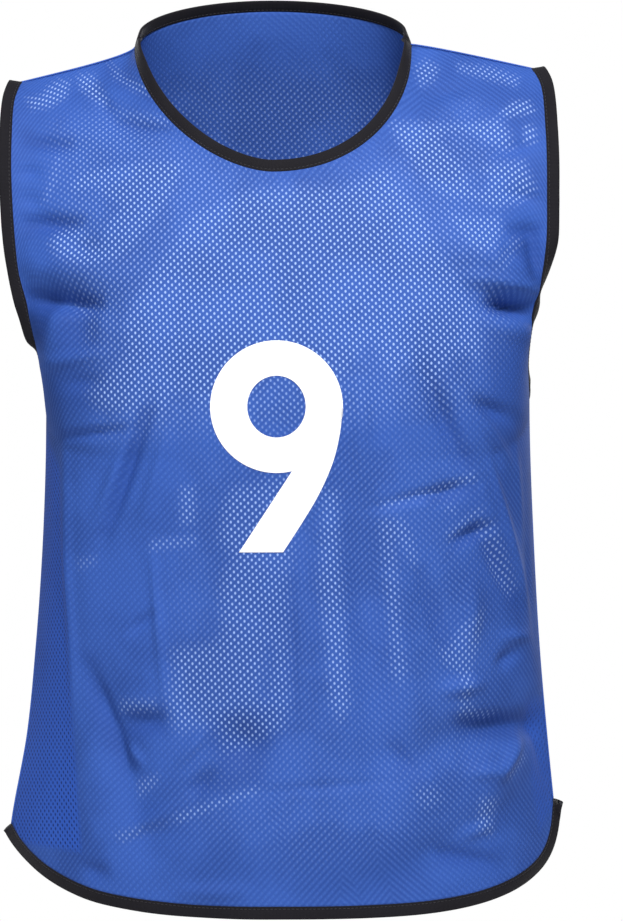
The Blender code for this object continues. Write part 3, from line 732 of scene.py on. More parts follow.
def depth_inside(x, z, outline):
    """Distance from each place to the nearest side of a closed outline, below 0 outside it."""
    nearest = np.full(x.shape, np.inf)
    inside = np.zeros(x.shape, bool)
    for (ax, az), (bx, bz) in zip(outline, np.roll(outline, -1, axis=0)):
        along_x, along_z = bx - ax, bz - az
        share = np.clip(((x - ax) * along_x + (z - az) * along_z) / (along_x**2 + along_z**2), 0, 1)
        nearest = np.minimum(nearest, np.hypot(x - ax - share * along_x, z - az - share * along_z))
        if along_z:
            inside ^= ((az > z) != (bz > z)) & (x < ax + (z - az) * along_x / along_z)
    return np.where(inside, nearest, -nearest)


def toned(points, shapes):
    """Tones of painted light or shade at each point, above 0 for positive outlines and below 0 for negative
    ones: the strongest outlines there.
    """
    x, z = points[..., 0] / MILLIMETRE, points[..., 2] / MILLIMETRE
    pale = np.zeros(points.shape[:-1])
    dark = np.zeros(points.shape[:-1])
    for row in shapes:
        shape = dict(zip(OUTLINE_COLUMNS, row))
        depth = depth_inside(x, z, np.array(shape["outline"], float))
        share = smoothed(np.clip((1 + depth / shape["softness"]) / 2, 0, 1)) * abs(shape["strength"])
        if shape["strength"] > 0:
            pale = np.maximum(pale, share)
        else:
            dark = np.maximum(dark, share)
    return pale - dark


def unit(vectors):
    """Vectors scaled to length 1."""
    return vectors / np.linalg.norm(vectors, axis=-1, keepdims=True)


def outward(points, face):
    """Unit normals of a panel's grid, pointing out of the garment."""
    rows, columns = np.gradient(points, axis=(0, 1))
    return unit(np.cross(columns, rows) * -face)


def flush_at_seams(front, back, turn):
    """Normals of both panels, shared and turned into the seam plane along the seams, so the walls meet flush.

    Along the neck and the armholes they turn back to the cloth's own within SEAM_BLEND points of a seam.
    """
    kept = np.ones(front.shape[:2])
    kept[-1] = (TURN_AT_NECK - np.abs(turn)) / TURN_AT_NECK * NECK_COLUMNS / SEAM_BLEND
    row = np.arange(YOKE_ROWS + 1)
    kept[BODY_ROWS:, [0, -1]] = (np.minimum(row, YOKE_ROWS - row) / SEAM_BLEND)[:, None]
    kept[:BODY_ROWS, [0, -1]] = 0
    kept = np.clip(kept, 0, 1)[..., None]
    shared = (front + back) * np.array([0.5, 0, 0.5])
    return [unit(normals * kept + shared * (1 - kept)) for normals in (front, back)]


def cloth_map(points, normals, turn):
    """Places on the flat cloth in metres, so that the net runs straight as seen from the front.

    Across is the distance from the centre line. Up is the height on the body tube and then the climb up
    the yoke. Each step leaves out the part of its depth that the slope in the other direction gives.
    """
    ahead = np.where(normals[..., 1] < 0, -1, 1) * np.maximum(np.abs(normals[..., 1]), LEAST_AHEAD)
    slope_x = np.clip(-normals[..., 0] / ahead, -STEEPEST, STEEPEST)
    slope_z = np.clip(-normals[..., 2] / ahead, -STEEPEST, STEEPEST)
    step = np.diff(points, axis=1)
    level = step[..., 1] - (slope_z[:, 1:] + slope_z[:, :-1]) / 2 * step[..., 2]
    across = np.cumsum(np.hypot(step[..., 0], level), axis=1)
    across = np.concatenate([np.zeros((len(points), 1)), across], axis=1)
    across = across - across[:, len(turn) // 2, None]
    rise = np.diff(points[BODY_ROWS:], axis=0)
    upright = rise[..., 1] - (slope_x[BODY_ROWS + 1 :] + slope_x[BODY_ROWS:-1]) / 2 * rise[..., 0]
    up = points[..., 2].copy()
    up[BODY_ROWS + 1 :] = points[BODY_ROWS, :, 2] + np.cumsum(np.hypot(rise[..., 2], upright), axis=0)
    return np.stack([across, up], -1)


def bib_form():
    """Both panels: their turns, outer points with folds, normals, flat cloth places and tones of painted
    light and shade.
    """
    turn = panel_turns()
    form = {"turn": turn}
    tables = ((FRONT, FRONT_FOLDS, FRONT_LIGHT, FRONT_SHADE), (BACK, BACK_FOLDS, BACK_LIGHT, BACK_SHADE))
    for face, folds, light, shade in tables:
        smooth = smooth_panel(turn, face)
        normals = outward(smooth, face)
        row = np.linspace(0, 1, len(smooth))[:, None]
        fade = (1 - np.abs(turn) ** FOLD_FADE_AT_SEAMS) * (1 - row**FOLD_FADE_AT_SEAMS)
        points = smooth + normals * (fold_height(smooth, folds) * fade)[..., None]
        form[face] = {
            "points": points,
            "normals": outward(points, face),
            "map": cloth_map(smooth, normals, turn),
            "tones": {"light_through": toned(smooth, light), "deep_shade": toned(smooth, shade)},
        }
    flush = flush_at_seams(form[FRONT]["normals"], form[BACK]["normals"], turn)
    form[FRONT]["normals"], form[BACK]["normals"] = flush
    return form


# Meshes


def grid_faces(rows, columns, start=0):
    """Quads of a grid of points numbered row by row."""
    index = np.arange(rows * columns).reshape(rows, columns) + start
    return np.stack([index[:-1, :-1], index[:-1, 1:], index[1:, 1:], index[1:, :-1]], -1).reshape(-1, 4)


def new_piece(name, points, faces, material, maps=None, tones=None, merge=0.0):
    """Object from arrays of points and faces, smooth, facing outwards, with a flat map and named tones."""
    mesh = bpy.data.meshes.new(name)
    mesh.from_pydata(points.reshape(-1, 3), [], faces)
    mesh.update()
    corners = np.empty(len(mesh.loops), int)
    mesh.loops.foreach_get("vertex_index", corners)
    if maps is not None:
        layer = mesh.uv_layers.new(name="flat_cloth")
        layer.data.foreach_set("uv", maps.reshape(-1, 2)[corners].ravel())
    for tone, values in (tones or {}).items():
        attribute = mesh.attributes.new(tone, "FLOAT", "POINT")
        attribute.data.foreach_set("value", values.ravel())
    piece = bpy.data.objects.new(name, mesh)
    bpy.context.scene.collection.objects.link(piece)
    tidy_mesh(mesh, merge)
    mesh.materials.append(material)
    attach(piece, "root")
    return piece


def tidy_mesh(mesh, merge):
    """Merges points closer than merge, turns the faces outwards and shades them smooth."""
    shape = bmesh.new()
    shape.from_mesh(mesh)
    if merge:
        bmesh.ops.remove_doubles(shape, verts=shape.verts, dist=merge)
    bmesh.ops.recalc_face_normals(shape, faces=shape.faces)
    shape.to_mesh(mesh)
    shape.free()
    mesh.shade_smooth()


def crisp_border(mesh):
    """Marks the edges that have one face as sharp, so that a thin sheet keeps an even shade to its border."""
    edge_of_corner = np.empty(len(mesh.loops), int)
    mesh.loops.foreach_get("edge_index", edge_of_corner)
    border = np.bincount(edge_of_corner, minlength=len(mesh.edges)) == 1
    mesh.attributes.new("sharp_edge", "BOOLEAN", "EDGE").data.foreach_set("value", border)


def rim_faces(rows, columns, closed):
    """Faces that join the borders of two grids of the same size, the second numbered after the first."""
    index = np.arange(rows * columns).reshape(rows, columns)
    if closed:
        borders = [index[0], index[-1]]
    else:
        borders = [np.concatenate([index[0], index[1:, -1], index[-1, -2::-1], index[-2::-1, 0]])]
    other = rows * columns
    return np.concatenate([np.stack([b[:-1], b[1:], b[1:] + other, b[:-1] + other], -1) for b in borders])


def shell(name, outer, inner, material, maps, tones):
    """Closed thin sheet between an outer and an inner grid of points."""
    rows, columns = outer.shape[:2]
    faces = np.concatenate(
        [
            grid_faces(rows, columns),
            grid_faces(rows, columns, rows * columns),
            rim_faces(rows, columns, False),
        ]
    )
    tones = {tone: np.stack([values, values]) for tone, values in tones.items()}
    return new_piece(name, np.stack([outer, inner]), faces, material, np.stack([maps, maps]), tones)


def swept(name, middle, side, rise, profile, closed, material):
    """A profile carried along a path.

    Each point is the path's middle plus the profile's two sizes times the path's side and rise directions.
    Open ends are closed by a small cap that rounds over.
    """
    around = closed_up(profile)
    if closed:
        scale = np.ones(len(middle) + 1)
        middle, side, rise = (closed_up(array) for array in (middle, side, rise))
    else:
        caps = np.array(CAP_SCALES)
        first, last = np.repeat([[0], [len(middle) - 1]], len(caps), axis=1)
        scale = np.concatenate([caps, np.ones(len(middle) - 2), caps[::-1]])
        order = np.concatenate([first, np.arange(1, len(middle) - 1), last])
        middle, side, rise = middle[order], side[order], rise[order]
    points = (
        middle[:, None]
        + side[:, None] * (around[None, :, :1] * scale[:, None, None])
        + rise[:, None] * (around[None, :, 1:] * scale[:, None, None])
    )
    maps = np.stack(np.meshgrid(lengths_along(middle), lengths_along(around), indexing="ij"), -1)
    return new_piece(name, points, grid_faces(*points.shape[:2]), material, maps, merge=BAND_MERGE)


# Paths along the edges and seams


def unit_across(edge, normals, closed):
    """Unit directions that lie in the cloth, square to its edge."""
    if closed:
        along = np.roll(edge, -1, axis=0) - np.roll(edge, 1, axis=0)
    else:
        along = np.gradient(edge, axis=0)
    return unit(np.cross(along, normals))


def arm_lean(edge, behind):
    """How an armhole's binding turns low down: forwards on the left front, and sideways on the right side."""
    on_left, on_right = (edge[:, 0] < 0) & ~behind, edge[:, 0] > 0
    left, right = (
        smoothed(np.interp(edge[:, 2], heights, (0, 0, 1, 1, 0)) * here)[:, None]
        for heights, here in ((ARM_LEAN_HEIGHTS, on_left), (ARM_TUCK_HEIGHTS, on_right))
    )
    return left * np.array([0, -ARM_LEAN, 0]) + right * np.array([ARM_TUCK, 0, 0])


def neck_lean(edge, behind):
    """How far the neck's binding lies down on the nape."""
    share = np.clip(1 - (edge[:, 0] / NECK_HALF_WIDTH) ** 2, 0, 1)
    return (share * NECK_LEAN * behind)[:, None] * np.array([0, 0, 1])


def ring_path(form, front_index, back_index, outside, lean):
    """Closed path round one opening: the middle of the cloth's edge, the way out of it and its normals."""
    pairs = ((form[FRONT], front_index), (form[BACK], back_index))
    edge = np.concatenate([panel["points"][index][:-1] for panel, index in pairs])
    normals = np.concatenate([panel["normals"][index][:-1] for panel, index in pairs])
    behind = np.arange(len(edge)) >= len(edge) // 2
    along = unit(np.roll(edge, -1, axis=0) - np.roll(edge, 1, axis=0))
    normals = normals + lean(edge, behind)
    normals = unit(normals - along * np.sum(normals * along, axis=1, keepdims=True))
    out = unit_across(edge, normals, True)
    if np.sum(out * (edge - np.array(outside))) > 0:
        out = -out
    return edge - normals * CLOTH_WALL / 2, out, normals, True


def hem_path(form, face):
    """Open path along one hem, whose ends lie in the seam plane and stand out a little at the corners."""
    turn, points, normals = form["turn"], form[face]["points"], form[face]["normals"]
    edge, normal = points[0], normals[0]
    out = unit_across(edge, normal, False)
    if np.sum(out * (edge - points.mean(axis=(0, 1)))) < 0:
        out = -out
    flare = np.clip((np.abs(turn) - CORNER_FLARE_TURN) / (1 - CORNER_FLARE_TURN), 0, 1) ** 2
    out[:, 0] += np.sign(turn) * CORNER_FLARE * flare
    out[[0, -1], 1] = 0
    out = unit(out)
    square = np.cross(np.gradient(edge, axis=0), out)
    square[[0, -1], 1] = 0
    square = unit(square)
    square *= np.sign(np.sum(square * normal, axis=1, keepdims=True))
    return edge - square * CLOTH_WALL / 2, out, square, False


def seam_path(points, normals):
    """Open path along a seam, whose cloth lies to its front and back."""
    middle = points * np.array([1, 0, 1])
    rise = unit(normals * np.array([1, 0, 1]))
    side = unit(np.cross(np.gradient(middle, axis=0), rise))
    return middle, side, rise, False


@functools.lru_cache(maxsize=None)
def garment():
    """The garment's form and the paths along its edges and seams, worked out once."""
    form = bib_form()
    neck = np.flatnonzero(np.abs(form["turn"]) < TURN_AT_NECK + 1e-6)
    rows = len(form[FRONT]["points"])
    up, down = np.arange(BODY_ROWS, rows), np.arange(rows - 1, BODY_ROWS - 1, -1)
    edges = {
        "neck_binding": ring_path(form, (-1, neck), (-1, neck[::-1]), OUTSIDE["neck"], neck_lean),
        "left_armhole_binding": ring_path(form, (up, 0), (down, 0), OUTSIDE["left_armhole"], arm_lean),
        "right_armhole_binding": ring_path(form, (up, -1), (down, -1), OUTSIDE["right_armhole"], arm_lean),
        "front_hem_binding": hem_path(form, FRONT),
        "back_hem_binding": hem_path(form, BACK),
    }
    points, normals = form[FRONT]["points"], form[FRONT]["normals"]
    side, left, right = slice(0, BODY_ROWS + 1), slice(0, neck[0] + 1), slice(neck[-1], None)
    seams = {
        "left_side_seam": seam_path(points[side, 0], normals[side, 0]),
        "right_side_seam": seam_path(points[side, -1], normals[side, -1]),
        "left_shoulder_seam": seam_path(points[-1, left], normals[-1, left]),
        "right_shoulder_seam": seam_path(points[-1, right], normals[-1, right]),
    }
    return {"form": form, "edges": edges, "seams": seams}


def rounded_profile(width, height, squareness, groove_at=0.0, groove_depth=0.0, groove_width=1.0):
    """Closed profile: a superellipse, drawn in from both faces by a bell-shaped groove at groove_at."""
    angle = np.arange(PROFILE_POINTS) / PROFILE_POINTS * 2 * np.pi
    power = 2 / squareness
    across = np.sign(np.cos(angle)) * np.abs(np.cos(angle)) ** power * width / 2
    deep = np.sign(np.sin(angle)) * np.abs(np.sin(angle)) ** power * height / 2
    deep = deep * (1 - groove_depth * np.exp(-(((across - groove_at) / groove_width) ** 2)))
    return np.stack([across, deep], -1)


def stitches(path, lift_across, lift_up, pitch):
    """Points of capsule-shaped stitches, spaced evenly along a path and off it by two distances.

    Each is its centre, plus the path's direction times the sine of one angle, plus a circle times that
    angle's cosine.
    """
    middle, side, rise, closed = path
    if closed:
        middle, side, rise = (closed_up(array) for array in (middle, side, rise))
    line = middle + side * lift_across + rise * lift_up
    along = lengths_along(line)
    count = int(round(along[-1] / pitch))
    at = (np.arange(count) + 0.5) / count * along[-1]
    tangents = np.gradient(line, along, axis=0)
    centre, along_at, side_at, rise_at = (
        np.stack([np.interp(at, along, array[:, axis]) for axis in range(3)], -1)
        for array in (line, tangents, side, rise)
    )
    lengthwise = np.linspace(-np.pi / 2, np.pi / 2, STITCH_RINGS)[None, :, None, None]
    around = np.linspace(0, 2 * np.pi, STITCH_SIDES + 1)[None, None, :, None]
    circle = side_at[:, None, None] * np.cos(around) + rise_at[:, None, None] * np.sin(around)
    return (
        centre[:, None, None]
        + unit(along_at)[:, None, None] * np.sin(lengthwise) * STITCH_LENGTH / 2
        + circle * np.cos(lengthwise) * STITCH_THICKNESS / 2
    )


# Number


def grid_at(grid, row, column):
    """Values of a grid at fractional rows and columns, mixed from the four nearest."""
    r = np.clip(row.astype(int), 0, grid.shape[0] - 2)
    c = np.clip(column.astype(int), 0, grid.shape[1] - 2)
    u, v = (row - r)[..., None], (column - c)[..., None]
    low = grid[r, c] * (1 - v) + grid[r, c + 1] * v
    high = grid[r + 1, c] * (1 - v) + grid[r + 1, c + 1] * v
    return low * (1 - u) + high * u


def laid_on(points, x, z):
    """Fractional rows and columns where a panel's grid reaches x and z, found by rounds of straight steps."""
    row_step, column_step = np.gradient(points, axis=(0, 1))
    row = np.full(x.shape, float(BODY_ROWS))
    column = np.full(x.shape, points.shape[1] / 2)
    for _ in range(LAYING_ROUNDS):
        here = grid_at(points, row, column)
        up, across = grid_at(row_step, row, column), grid_at(column_step, row, column)
        short_x, short_z = x - here[..., 0], z - here[..., 2]
        scale = up[..., 0] * across[..., 2] - up[..., 2] * across[..., 0]
        row += (short_x * across[..., 2] - short_z * across[..., 0]) / scale
        column += (up[..., 0] * short_z - up[..., 2] * short_x) / scale
        row, column = np.clip(row, 0, len(points) - 1), np.clip(column, 0, points.shape[1] - 1)
    return row, column


def number_shape():
    """Flat grids of the number nine's ring and tail, from the middle of the ring.

    The ring is mixed from its inner and outer ellipses. The tail is mixed from its left edge, which is the
    ring's own arc and then a straight line, and its curved right edge.
    """
    angle = -np.arange(RING_STEPS + 1) * 2 * np.pi / RING_STEPS
    circle = np.stack([np.cos(angle), np.sin(angle)], -1)
    share = np.linspace(0, 1, RING_ACROSS + 1)[None, :, None]
    inner, outer = circle * np.array(RING_INNER), circle * np.array(RING_OUTER)
    ring = inner[:, None] * (1 - share) + outer[:, None] * share

    arc = outer[: TAIL_ARC_STEPS + 1]
    down = np.linspace(0, 1, TAIL_LINE_STEPS + 1)[1:, None]
    left = np.concatenate([arc, arc[-1] * (1 - down) + np.array(TAIL_FOOT_LEFT) * down])
    knots = np.stack([column_of(TAIL_RIGHT, TAIL_RIGHT_COLUMNS, name) for name in ("x", "z")], -1)
    along = lengths_along(knots)
    at = np.linspace(0, along[-1], len(left))
    right = np.stack([smooth_through(along, knots[:, axis], at) for axis in range(2)], -1)
    share = np.linspace(0, 1, TAIL_ACROSS + 1)[None, :, None]
    tail = left[:, None] * (1 - share) + right[:, None] * share
    return ring, tail


# Materials


def socketed(group, inputs, outputs):
    """Adds named sockets to a node group and returns its input and output nodes."""
    for name, kind, default in inputs:
        socket = group.interface.new_socket(name, in_out="INPUT", socket_type=kind)
        if default is not None:
            socket.default_value = default
    for name, kind in outputs:
        group.interface.new_socket(name, in_out="OUTPUT", socket_type=kind)
    return group.nodes.new("NodeGroupInput"), group.nodes.new("NodeGroupOutput")


def node(tree, kind, values=(), **settings):
    """New node with its settings, and with constants or links put into its inputs by name or number."""
    made = tree.nodes.new(kind)
    for name, value in settings.items():
        setattr(made, name, value)
    for key, value in dict(values).items():
        if isinstance(value, bpy.types.NodeSocket):
            tree.links.new(value, made.inputs[key])
        else:
            made.inputs[key].default_value = value
    return made


def math(tree, operation, *values):
    """Result of one math node."""
    return node(tree, "ShaderNodeMath", dict(enumerate(values)), operation=operation).outputs[0]


def smooth_step(tree, value, low, high):
    """A value mapped smoothly to 0 at low and 1 at high."""
    values = {"Value": value, "From Min": low, "From Max": high}
    return node(tree, "ShaderNodeMapRange", values, interpolation_type="SMOOTHSTEP").outputs[0]


def mixed(tree, share, first, second):
    """Colour mixed from two by a share."""
    values = {0: share, 6: first, 7: second}
    return node(tree, "ShaderNodeMix", values, data_type="RGBA", blend_type="MIX").outputs[2]


def recoloured(colour, scale, lift):
    """Opaque colour with its channels scaled and then lifted, up to 1."""
    return tuple(min(1.0, channel * scale + lift) for channel in colour[:3]) + (1.0,)


def net_group():
    """Node group for a knitted net.

    Upright oval holes stand on a grid, with one more in the middle of each cell. Faint slanted rows of yarn
    run between them and lean one way or the other.
    """
    group = bpy.data.node_groups.new("bib_net", "ShaderNodeTree")
    inputs = (
        ("Map", "NodeSocketVector", None),
        ("Pitch Across", "NodeSocketFloat", 0.0057),
        ("Pitch Up", "NodeSocketFloat", 0.0055),
        ("Hole Width", "NodeSocketFloat", 0.0018),
        ("Hole Height", "NodeSocketFloat", 0.0024),
    )
    source, result = socketed(group, inputs, (("Holes", "NodeSocketFloat"), ("Yarn", "NodeSocketFloat")))
    place = node(group, "ShaderNodeSeparateXYZ", {0: source.outputs["Map"]})
    across = math(group, "DIVIDE", place.outputs["X"], source.outputs["Pitch Across"])
    up = math(group, "DIVIDE", place.outputs["Y"], source.outputs["Pitch Up"])
    reach = []
    for shift in (0.0, 0.5):
        squares = []
        for share, pitch, width in ((across, "Pitch Across", "Hole Width"), (up, "Pitch Up", "Hole Height")):
            cell = math(group, "SUBTRACT", math(group, "FRACT", math(group, "ADD", share, shift)), 0.5)
            distance = math(group, "MULTIPLY", cell, source.outputs[pitch])
            half = math(group, "MULTIPLY", source.outputs[width], 0.5)
            ratio = math(group, "DIVIDE", distance, half)
            squares.append(math(group, "MULTIPLY", ratio, ratio))
        reach.append(math(group, "SQRT", math(group, "ADD", *squares)))
    nearest = math(group, "MINIMUM", *reach)
    holes = math(group, "SUBTRACT", 1.0, smooth_step(group, nearest, *HOLE_EDGE))
    stretched = {0: source.outputs["Map"], 1: ROW_BANDS}
    bands = node(group, "ShaderNodeVectorMath", stretched, operation="MULTIPLY").outputs[0]
    lean = node(group, "ShaderNodeTexNoise", {"Vector": bands, "Scale": ROW_BAND_SCALE, "Detail": 1.0})
    side = math(group, "MULTIPLY", place.outputs["X"], ROW_TURN_ACROSS)
    turned = smooth_step(group, math(group, "SUBTRACT", lean.outputs[0], side), *ROW_TURN)
    rows = []
    for operation in ("ADD", "SUBTRACT"):
        phase = math(group, "MULTIPLY", math(group, operation, across, up), 2 * np.pi)
        rows.append(math(group, "COSINE", phase))
    difference = math(group, "SUBTRACT", rows[1], rows[0])
    yarn = math(group, "ADD", rows[0], math(group, "MULTIPLY", difference, turned))
    group.links.new(holes, result.inputs["Holes"])
    group.links.new(yarn, result.inputs["Yarn"])
    return group


def fibre_group():
    """Node group for the fine grain of yarn and the slow change of shade over dyed cloth."""
    group = bpy.data.node_groups.new("bib_fibre", "ShaderNodeTree")
    inputs = (
        ("Place", "NodeSocketVector", None),
        ("Grain", "NodeSocketFloat", None),
        ("Shade", "NodeSocketFloat", None),
    )
    source, result = socketed(group, inputs, (("Grain", "NodeSocketFloat"), ("Shade", "NodeSocketFloat")))
    for name, detail in (("Grain", 2.0), ("Shade", 3.0)):
        values = {"Vector": source.outputs["Place"], "Scale": source.outputs[name], "Detail": detail}
        noise = node(group, "ShaderNodeTexNoise", values)
        group.links.new(noise.outputs[0], result.inputs[name])
    return group


def new_material(name, roughness, sheen, specular):
    """Material with its Principled shader, whose constants are set directly."""
    material = bpy.data.materials.new(name)
    material.use_nodes = True
    tree = material.node_tree
    shader = tree.nodes["Principled BSDF"]
    shader.inputs["Roughness"].default_value = roughness
    shader.inputs["Sheen Weight"].default_value = sheen
    shader.inputs["Sheen Roughness"].default_value = SHEEN_ROUGHNESS
    shader.inputs["Specular IOR Level"].default_value = specular
    return material, tree, shader


def placed_group(tree, name, values):
    """A shared node group placed in a material, with its own values and links."""
    return node(tree, "ShaderNodeGroup", values, node_tree=bpy.data.node_groups[name])


def fibres(tree, grain, shade):
    """The grain and the shades of the fibres, by the place on the object and a scale for each."""
    place = node(tree, "ShaderNodeTexCoord").outputs["Object"]
    return placed_group(tree, "bib_fibre", {"Place": place, "Grain": grain, "Shade": shade})


def bumped(tree, shader, height, distance, strength):
    """Puts a bump on a shader, from a pattern of heights, a depth in metres and a strength."""
    bump = node(tree, "ShaderNodeBump", {"Height": height, "Distance": distance, "Strength": strength})
    tree.links.new(bump.outputs[0], shader.inputs["Normal"])


def flat_map(tree, tilt=0.0):
    """The piece's own flat map in metres, turned by a small angle."""
    layer = node(tree, "ShaderNodeUVMap", uv_map="flat_cloth")
    turned = node(tree, "ShaderNodeMapping", {"Vector": layer.outputs[0], "Rotation": (0, 0, tilt)})
    return turned.outputs[0]


def cloth_material(settings):
    """Knitted net: holes painted pale or dark by the light or shade seen through them, slanted yarn rows, and
    painted light and shade over the cloth.
    """
    material, tree, shader = new_material("blue_net_cloth", roughness=0.65, sheen=0.015, specular=0.10)
    values = {
        "Map": flat_map(tree, settings.row_tilt),
        "Pitch Across": settings.pitch_across,
        "Pitch Up": settings.pitch_up,
        "Hole Width": settings.hole_width,
        "Hole Height": settings.hole_height,
    }
    net = placed_group(tree, "bib_net", values)
    fibre = fibres(tree, grain=900.0, shade=15.0)
    light, deep = (
        node(tree, "ShaderNodeAttribute", attribute_name=name, attribute_type="GEOMETRY").outputs["Fac"]
        for name in ("light_through", "deep_shade")
    )
    # pale and dark are the painted light and shade seen through the net; deep is the painted shade in the
    # folds
    tones = {
        "pale": math(tree, "MAXIMUM", light, 0.0),
        "dark": math(tree, "MAXIMUM", math(tree, "MULTIPLY", light, -1.0), 0.0),
        "deep": deep,
    }
    holes = net.outputs["Holes"]

    dye = smooth_step(tree, fibre.outputs["Shade"], *DYE_SHADES)
    base = mixed(tree, dye, tuple(settings.deep_colour), tuple(settings.colour))
    crest = math(tree, "ADD", math(tree, "MULTIPLY", net.outputs["Yarn"], 0.5), 0.5)
    lost = math(tree, "MULTIPLY", tones["pale"], YARN_LOST_TO_LIGHT)
    yarn = math(tree, "MULTIPLY", crest, math(tree, "SUBTRACT", YARN_SHARE, lost))
    base = mixed(tree, yarn, base, tuple(settings.yarn_colour))
    # Painted light and shade over the base: paler where light comes through, darker in the folds, paler
    # around dark holes
    for tone, share, colour in PAINTED_LIGHT_AND_SHADE:
        base = mixed(tree, math(tree, "MULTIPLY", tones[tone], share), base, colour)
    # Holes painted pale where light comes through, and faintly pale everywhere else
    shown = math(tree, "ADD", math(tree, "MULTIPLY", tones["pale"], PALE_HOLES), DIM_HOLES)
    base = mixed(tree, math(tree, "MULTIPLY", holes, shown), base, tuple(settings.hole_colour))
    # Holes painted dark with shade where the dark tone is
    wide = math(tree, "MULTIPLY", math(tree, "POWER", holes, DARK_HOLE_SPREAD), tones["dark"])
    base = mixed(tree, wide, base, DARK_HOLE_COLOUR)
    tree.links.new(base, shader.inputs["Base Color"])

    grain = math(tree, "MULTIPLY", fibre.outputs["Grain"], 0.5)
    relief = math(tree, "ADD", math(tree, "MULTIPLY", holes, -1.0), math(tree, "ADD", yarn, grain))
    bumped(tree, shader, relief, distance=0.00035, strength=0.55)
    return material


def tape_material(name, colour, pitch):
    """Ribbed binding tape: fine ribs across it, a weft along it, a grain of fibres and paler crests."""
    material, tree, shader = new_material(name, roughness=0.80, sheen=0.12, specular=0.20)
    fibre = fibres(tree, grain=1600.0, shade=30.0)
    flat = node(tree, "ShaderNodeSeparateXYZ", {0: flat_map(tree)})
    rib = math(tree, "SINE", math(tree, "MULTIPLY", flat.outputs["X"], 2 * np.pi / pitch))
    weft = math(tree, "SINE", math(tree, "MULTIPLY", flat.outputs["Y"], 2 * np.pi / (pitch * WEFT_SHARE)))
    softer = math(tree, "ADD", math(tree, "MULTIPLY", weft, 0.5), 1.0)
    weave = math(tree, "MULTIPLY", math(tree, "ADD", rib, 1.0), softer)
    share = math(tree, "MULTIPLY", weave, math(tree, "MULTIPLY", fibre.outputs["Shade"], CREST_SHARE))
    base = mixed(tree, share, tuple(colour), recoloured(colour, scale=2.1, lift=0.006))
    tree.links.new(base, shader.inputs["Base Color"])
    height = math(tree, "ADD", math(tree, "MULTIPLY", weave, WEAVE_HEIGHT), fibre.outputs["Grain"])
    bumped(tree, shader, height, distance=0.00022, strength=0.6)
    return material


def thread_material(name, colour):
    """Sewing thread: a fine grain of fibres, paler in places."""
    material, tree, shader = new_material(name, roughness=0.55, sheen=0.10, specular=0.40)
    fibre = fibres(tree, grain=2600.0, shade=60.0)
    base = mixed(tree, fibre.outputs["Shade"], tuple(colour), recoloured(colour, scale=1.6, lift=0.008))
    tree.links.new(base, shader.inputs["Base Color"])
    bumped(tree, shader, fibre.outputs["Grain"], distance=0.0001, strength=0.5)
    return material


def print_material(settings):
    """White print: smooth, with the net's holes only just felt through it."""
    material, tree, shader = new_material("white_print", roughness=0.50, sheen=0.0, specular=0.35)
    net = placed_group(tree, "bib_net", {"Map": flat_map(tree)})
    fibre = fibres(tree, grain=900.0, shade=12.0)
    faded = recoloured(settings.colour, scale=0.965, lift=0.0)
    base = mixed(tree, fibre.outputs["Shade"], faded, tuple(settings.colour))
    tree.links.new(base, shader.inputs["Base Color"])
    relief = math(tree, "SUBTRACT", fibre.outputs["Grain"], net.outputs["Holes"])
    bumped(tree, shader, relief, distance=0.0001, strength=0.35)
    return material


# Sizes and colours that a user would change


def length_setting(name, description, default):
    """Setting that is a length in metres."""
    return FloatProperty(name=name, description=description, default=default, unit="LENGTH")


def power_setting(name, description, default):
    """Setting that is a lamp's power in watts."""
    return FloatProperty(name=name, description=description, default=default, unit="POWER")


def colour_setting(name, description, default):
    """Setting that is a colour with its opacity."""
    return FloatVectorProperty(name=name, description=description, size=4, subtype="COLOR", default=default)


class BibClothSettings(bpy.types.PropertyGroup):
    """Cloth panels."""

    wall: length_setting("Thickness", "Thickness of the cloth", 0.0008)
    pitch_across: length_setting("Hole spacing across", "Distance between holes along a row", 0.0057)
    pitch_up: length_setting("Hole spacing up", "Distance between every second row", 0.0055)
    hole_width: length_setting("Hole width", "Width of a hole", 0.0017)
    hole_height: length_setting("Hole height", "Height of a hole", 0.0023)
    row_tilt: FloatProperty(
        name="Row tilt", description="Slope of the rows of holes", default=-0.065, subtype="ANGLE"
    )
    colour: colour_setting("Cloth colour", "Colour of the cloth", (0.0325, 0.090, 0.372, 1.0))
    deep_colour: colour_setting("Deeper shade", "Colour where the dye is deeper", (0.0235, 0.066, 0.285, 1.0))
    yarn_colour: colour_setting("Yarn highlight", "Colour on the yarn's crests", (0.052, 0.132, 0.475, 1.0))
    # Painted light: the colour of the holes where light comes through the net
    hole_colour: colour_setting("Pale holes", "Colour of holes that light passes", (0.39, 0.54, 0.915, 1.0))


class BibBindingSettings(bpy.types.PropertyGroup):
    """Edge bindings, seams and stitching."""

    lap: length_setting("Lap", "How far a binding covers the cloth", 0.0016)
    thickness: length_setting("Thickness", "Thickness of a binding", 0.0027)
    colour: colour_setting("Binding colour", "Colour of the bindings", (0.0055, 0.0048, 0.0076, 1.0))
    thread_colour: colour_setting("Thread colour", "Colour of the stitches", (0.0100, 0.0090, 0.0125, 1.0))
    stitch_pitch: length_setting("Stitch spacing", "Distance between stitches", 0.0033)
    seam_width: length_setting("Seam width", "Width of a seam's ridge", 0.0034)
    seam_height: length_setting("Seam height", "Height of a seam's ridge", 0.0016)


class BibNumberSettings(bpy.types.PropertyGroup):
    """Printed number."""

    thickness: length_setting("Thickness", "Thickness of the print", 0.0002)
    colour: colour_setting("Print colour", "Colour of the number", (0.97, 0.97, 0.97, 1.0))


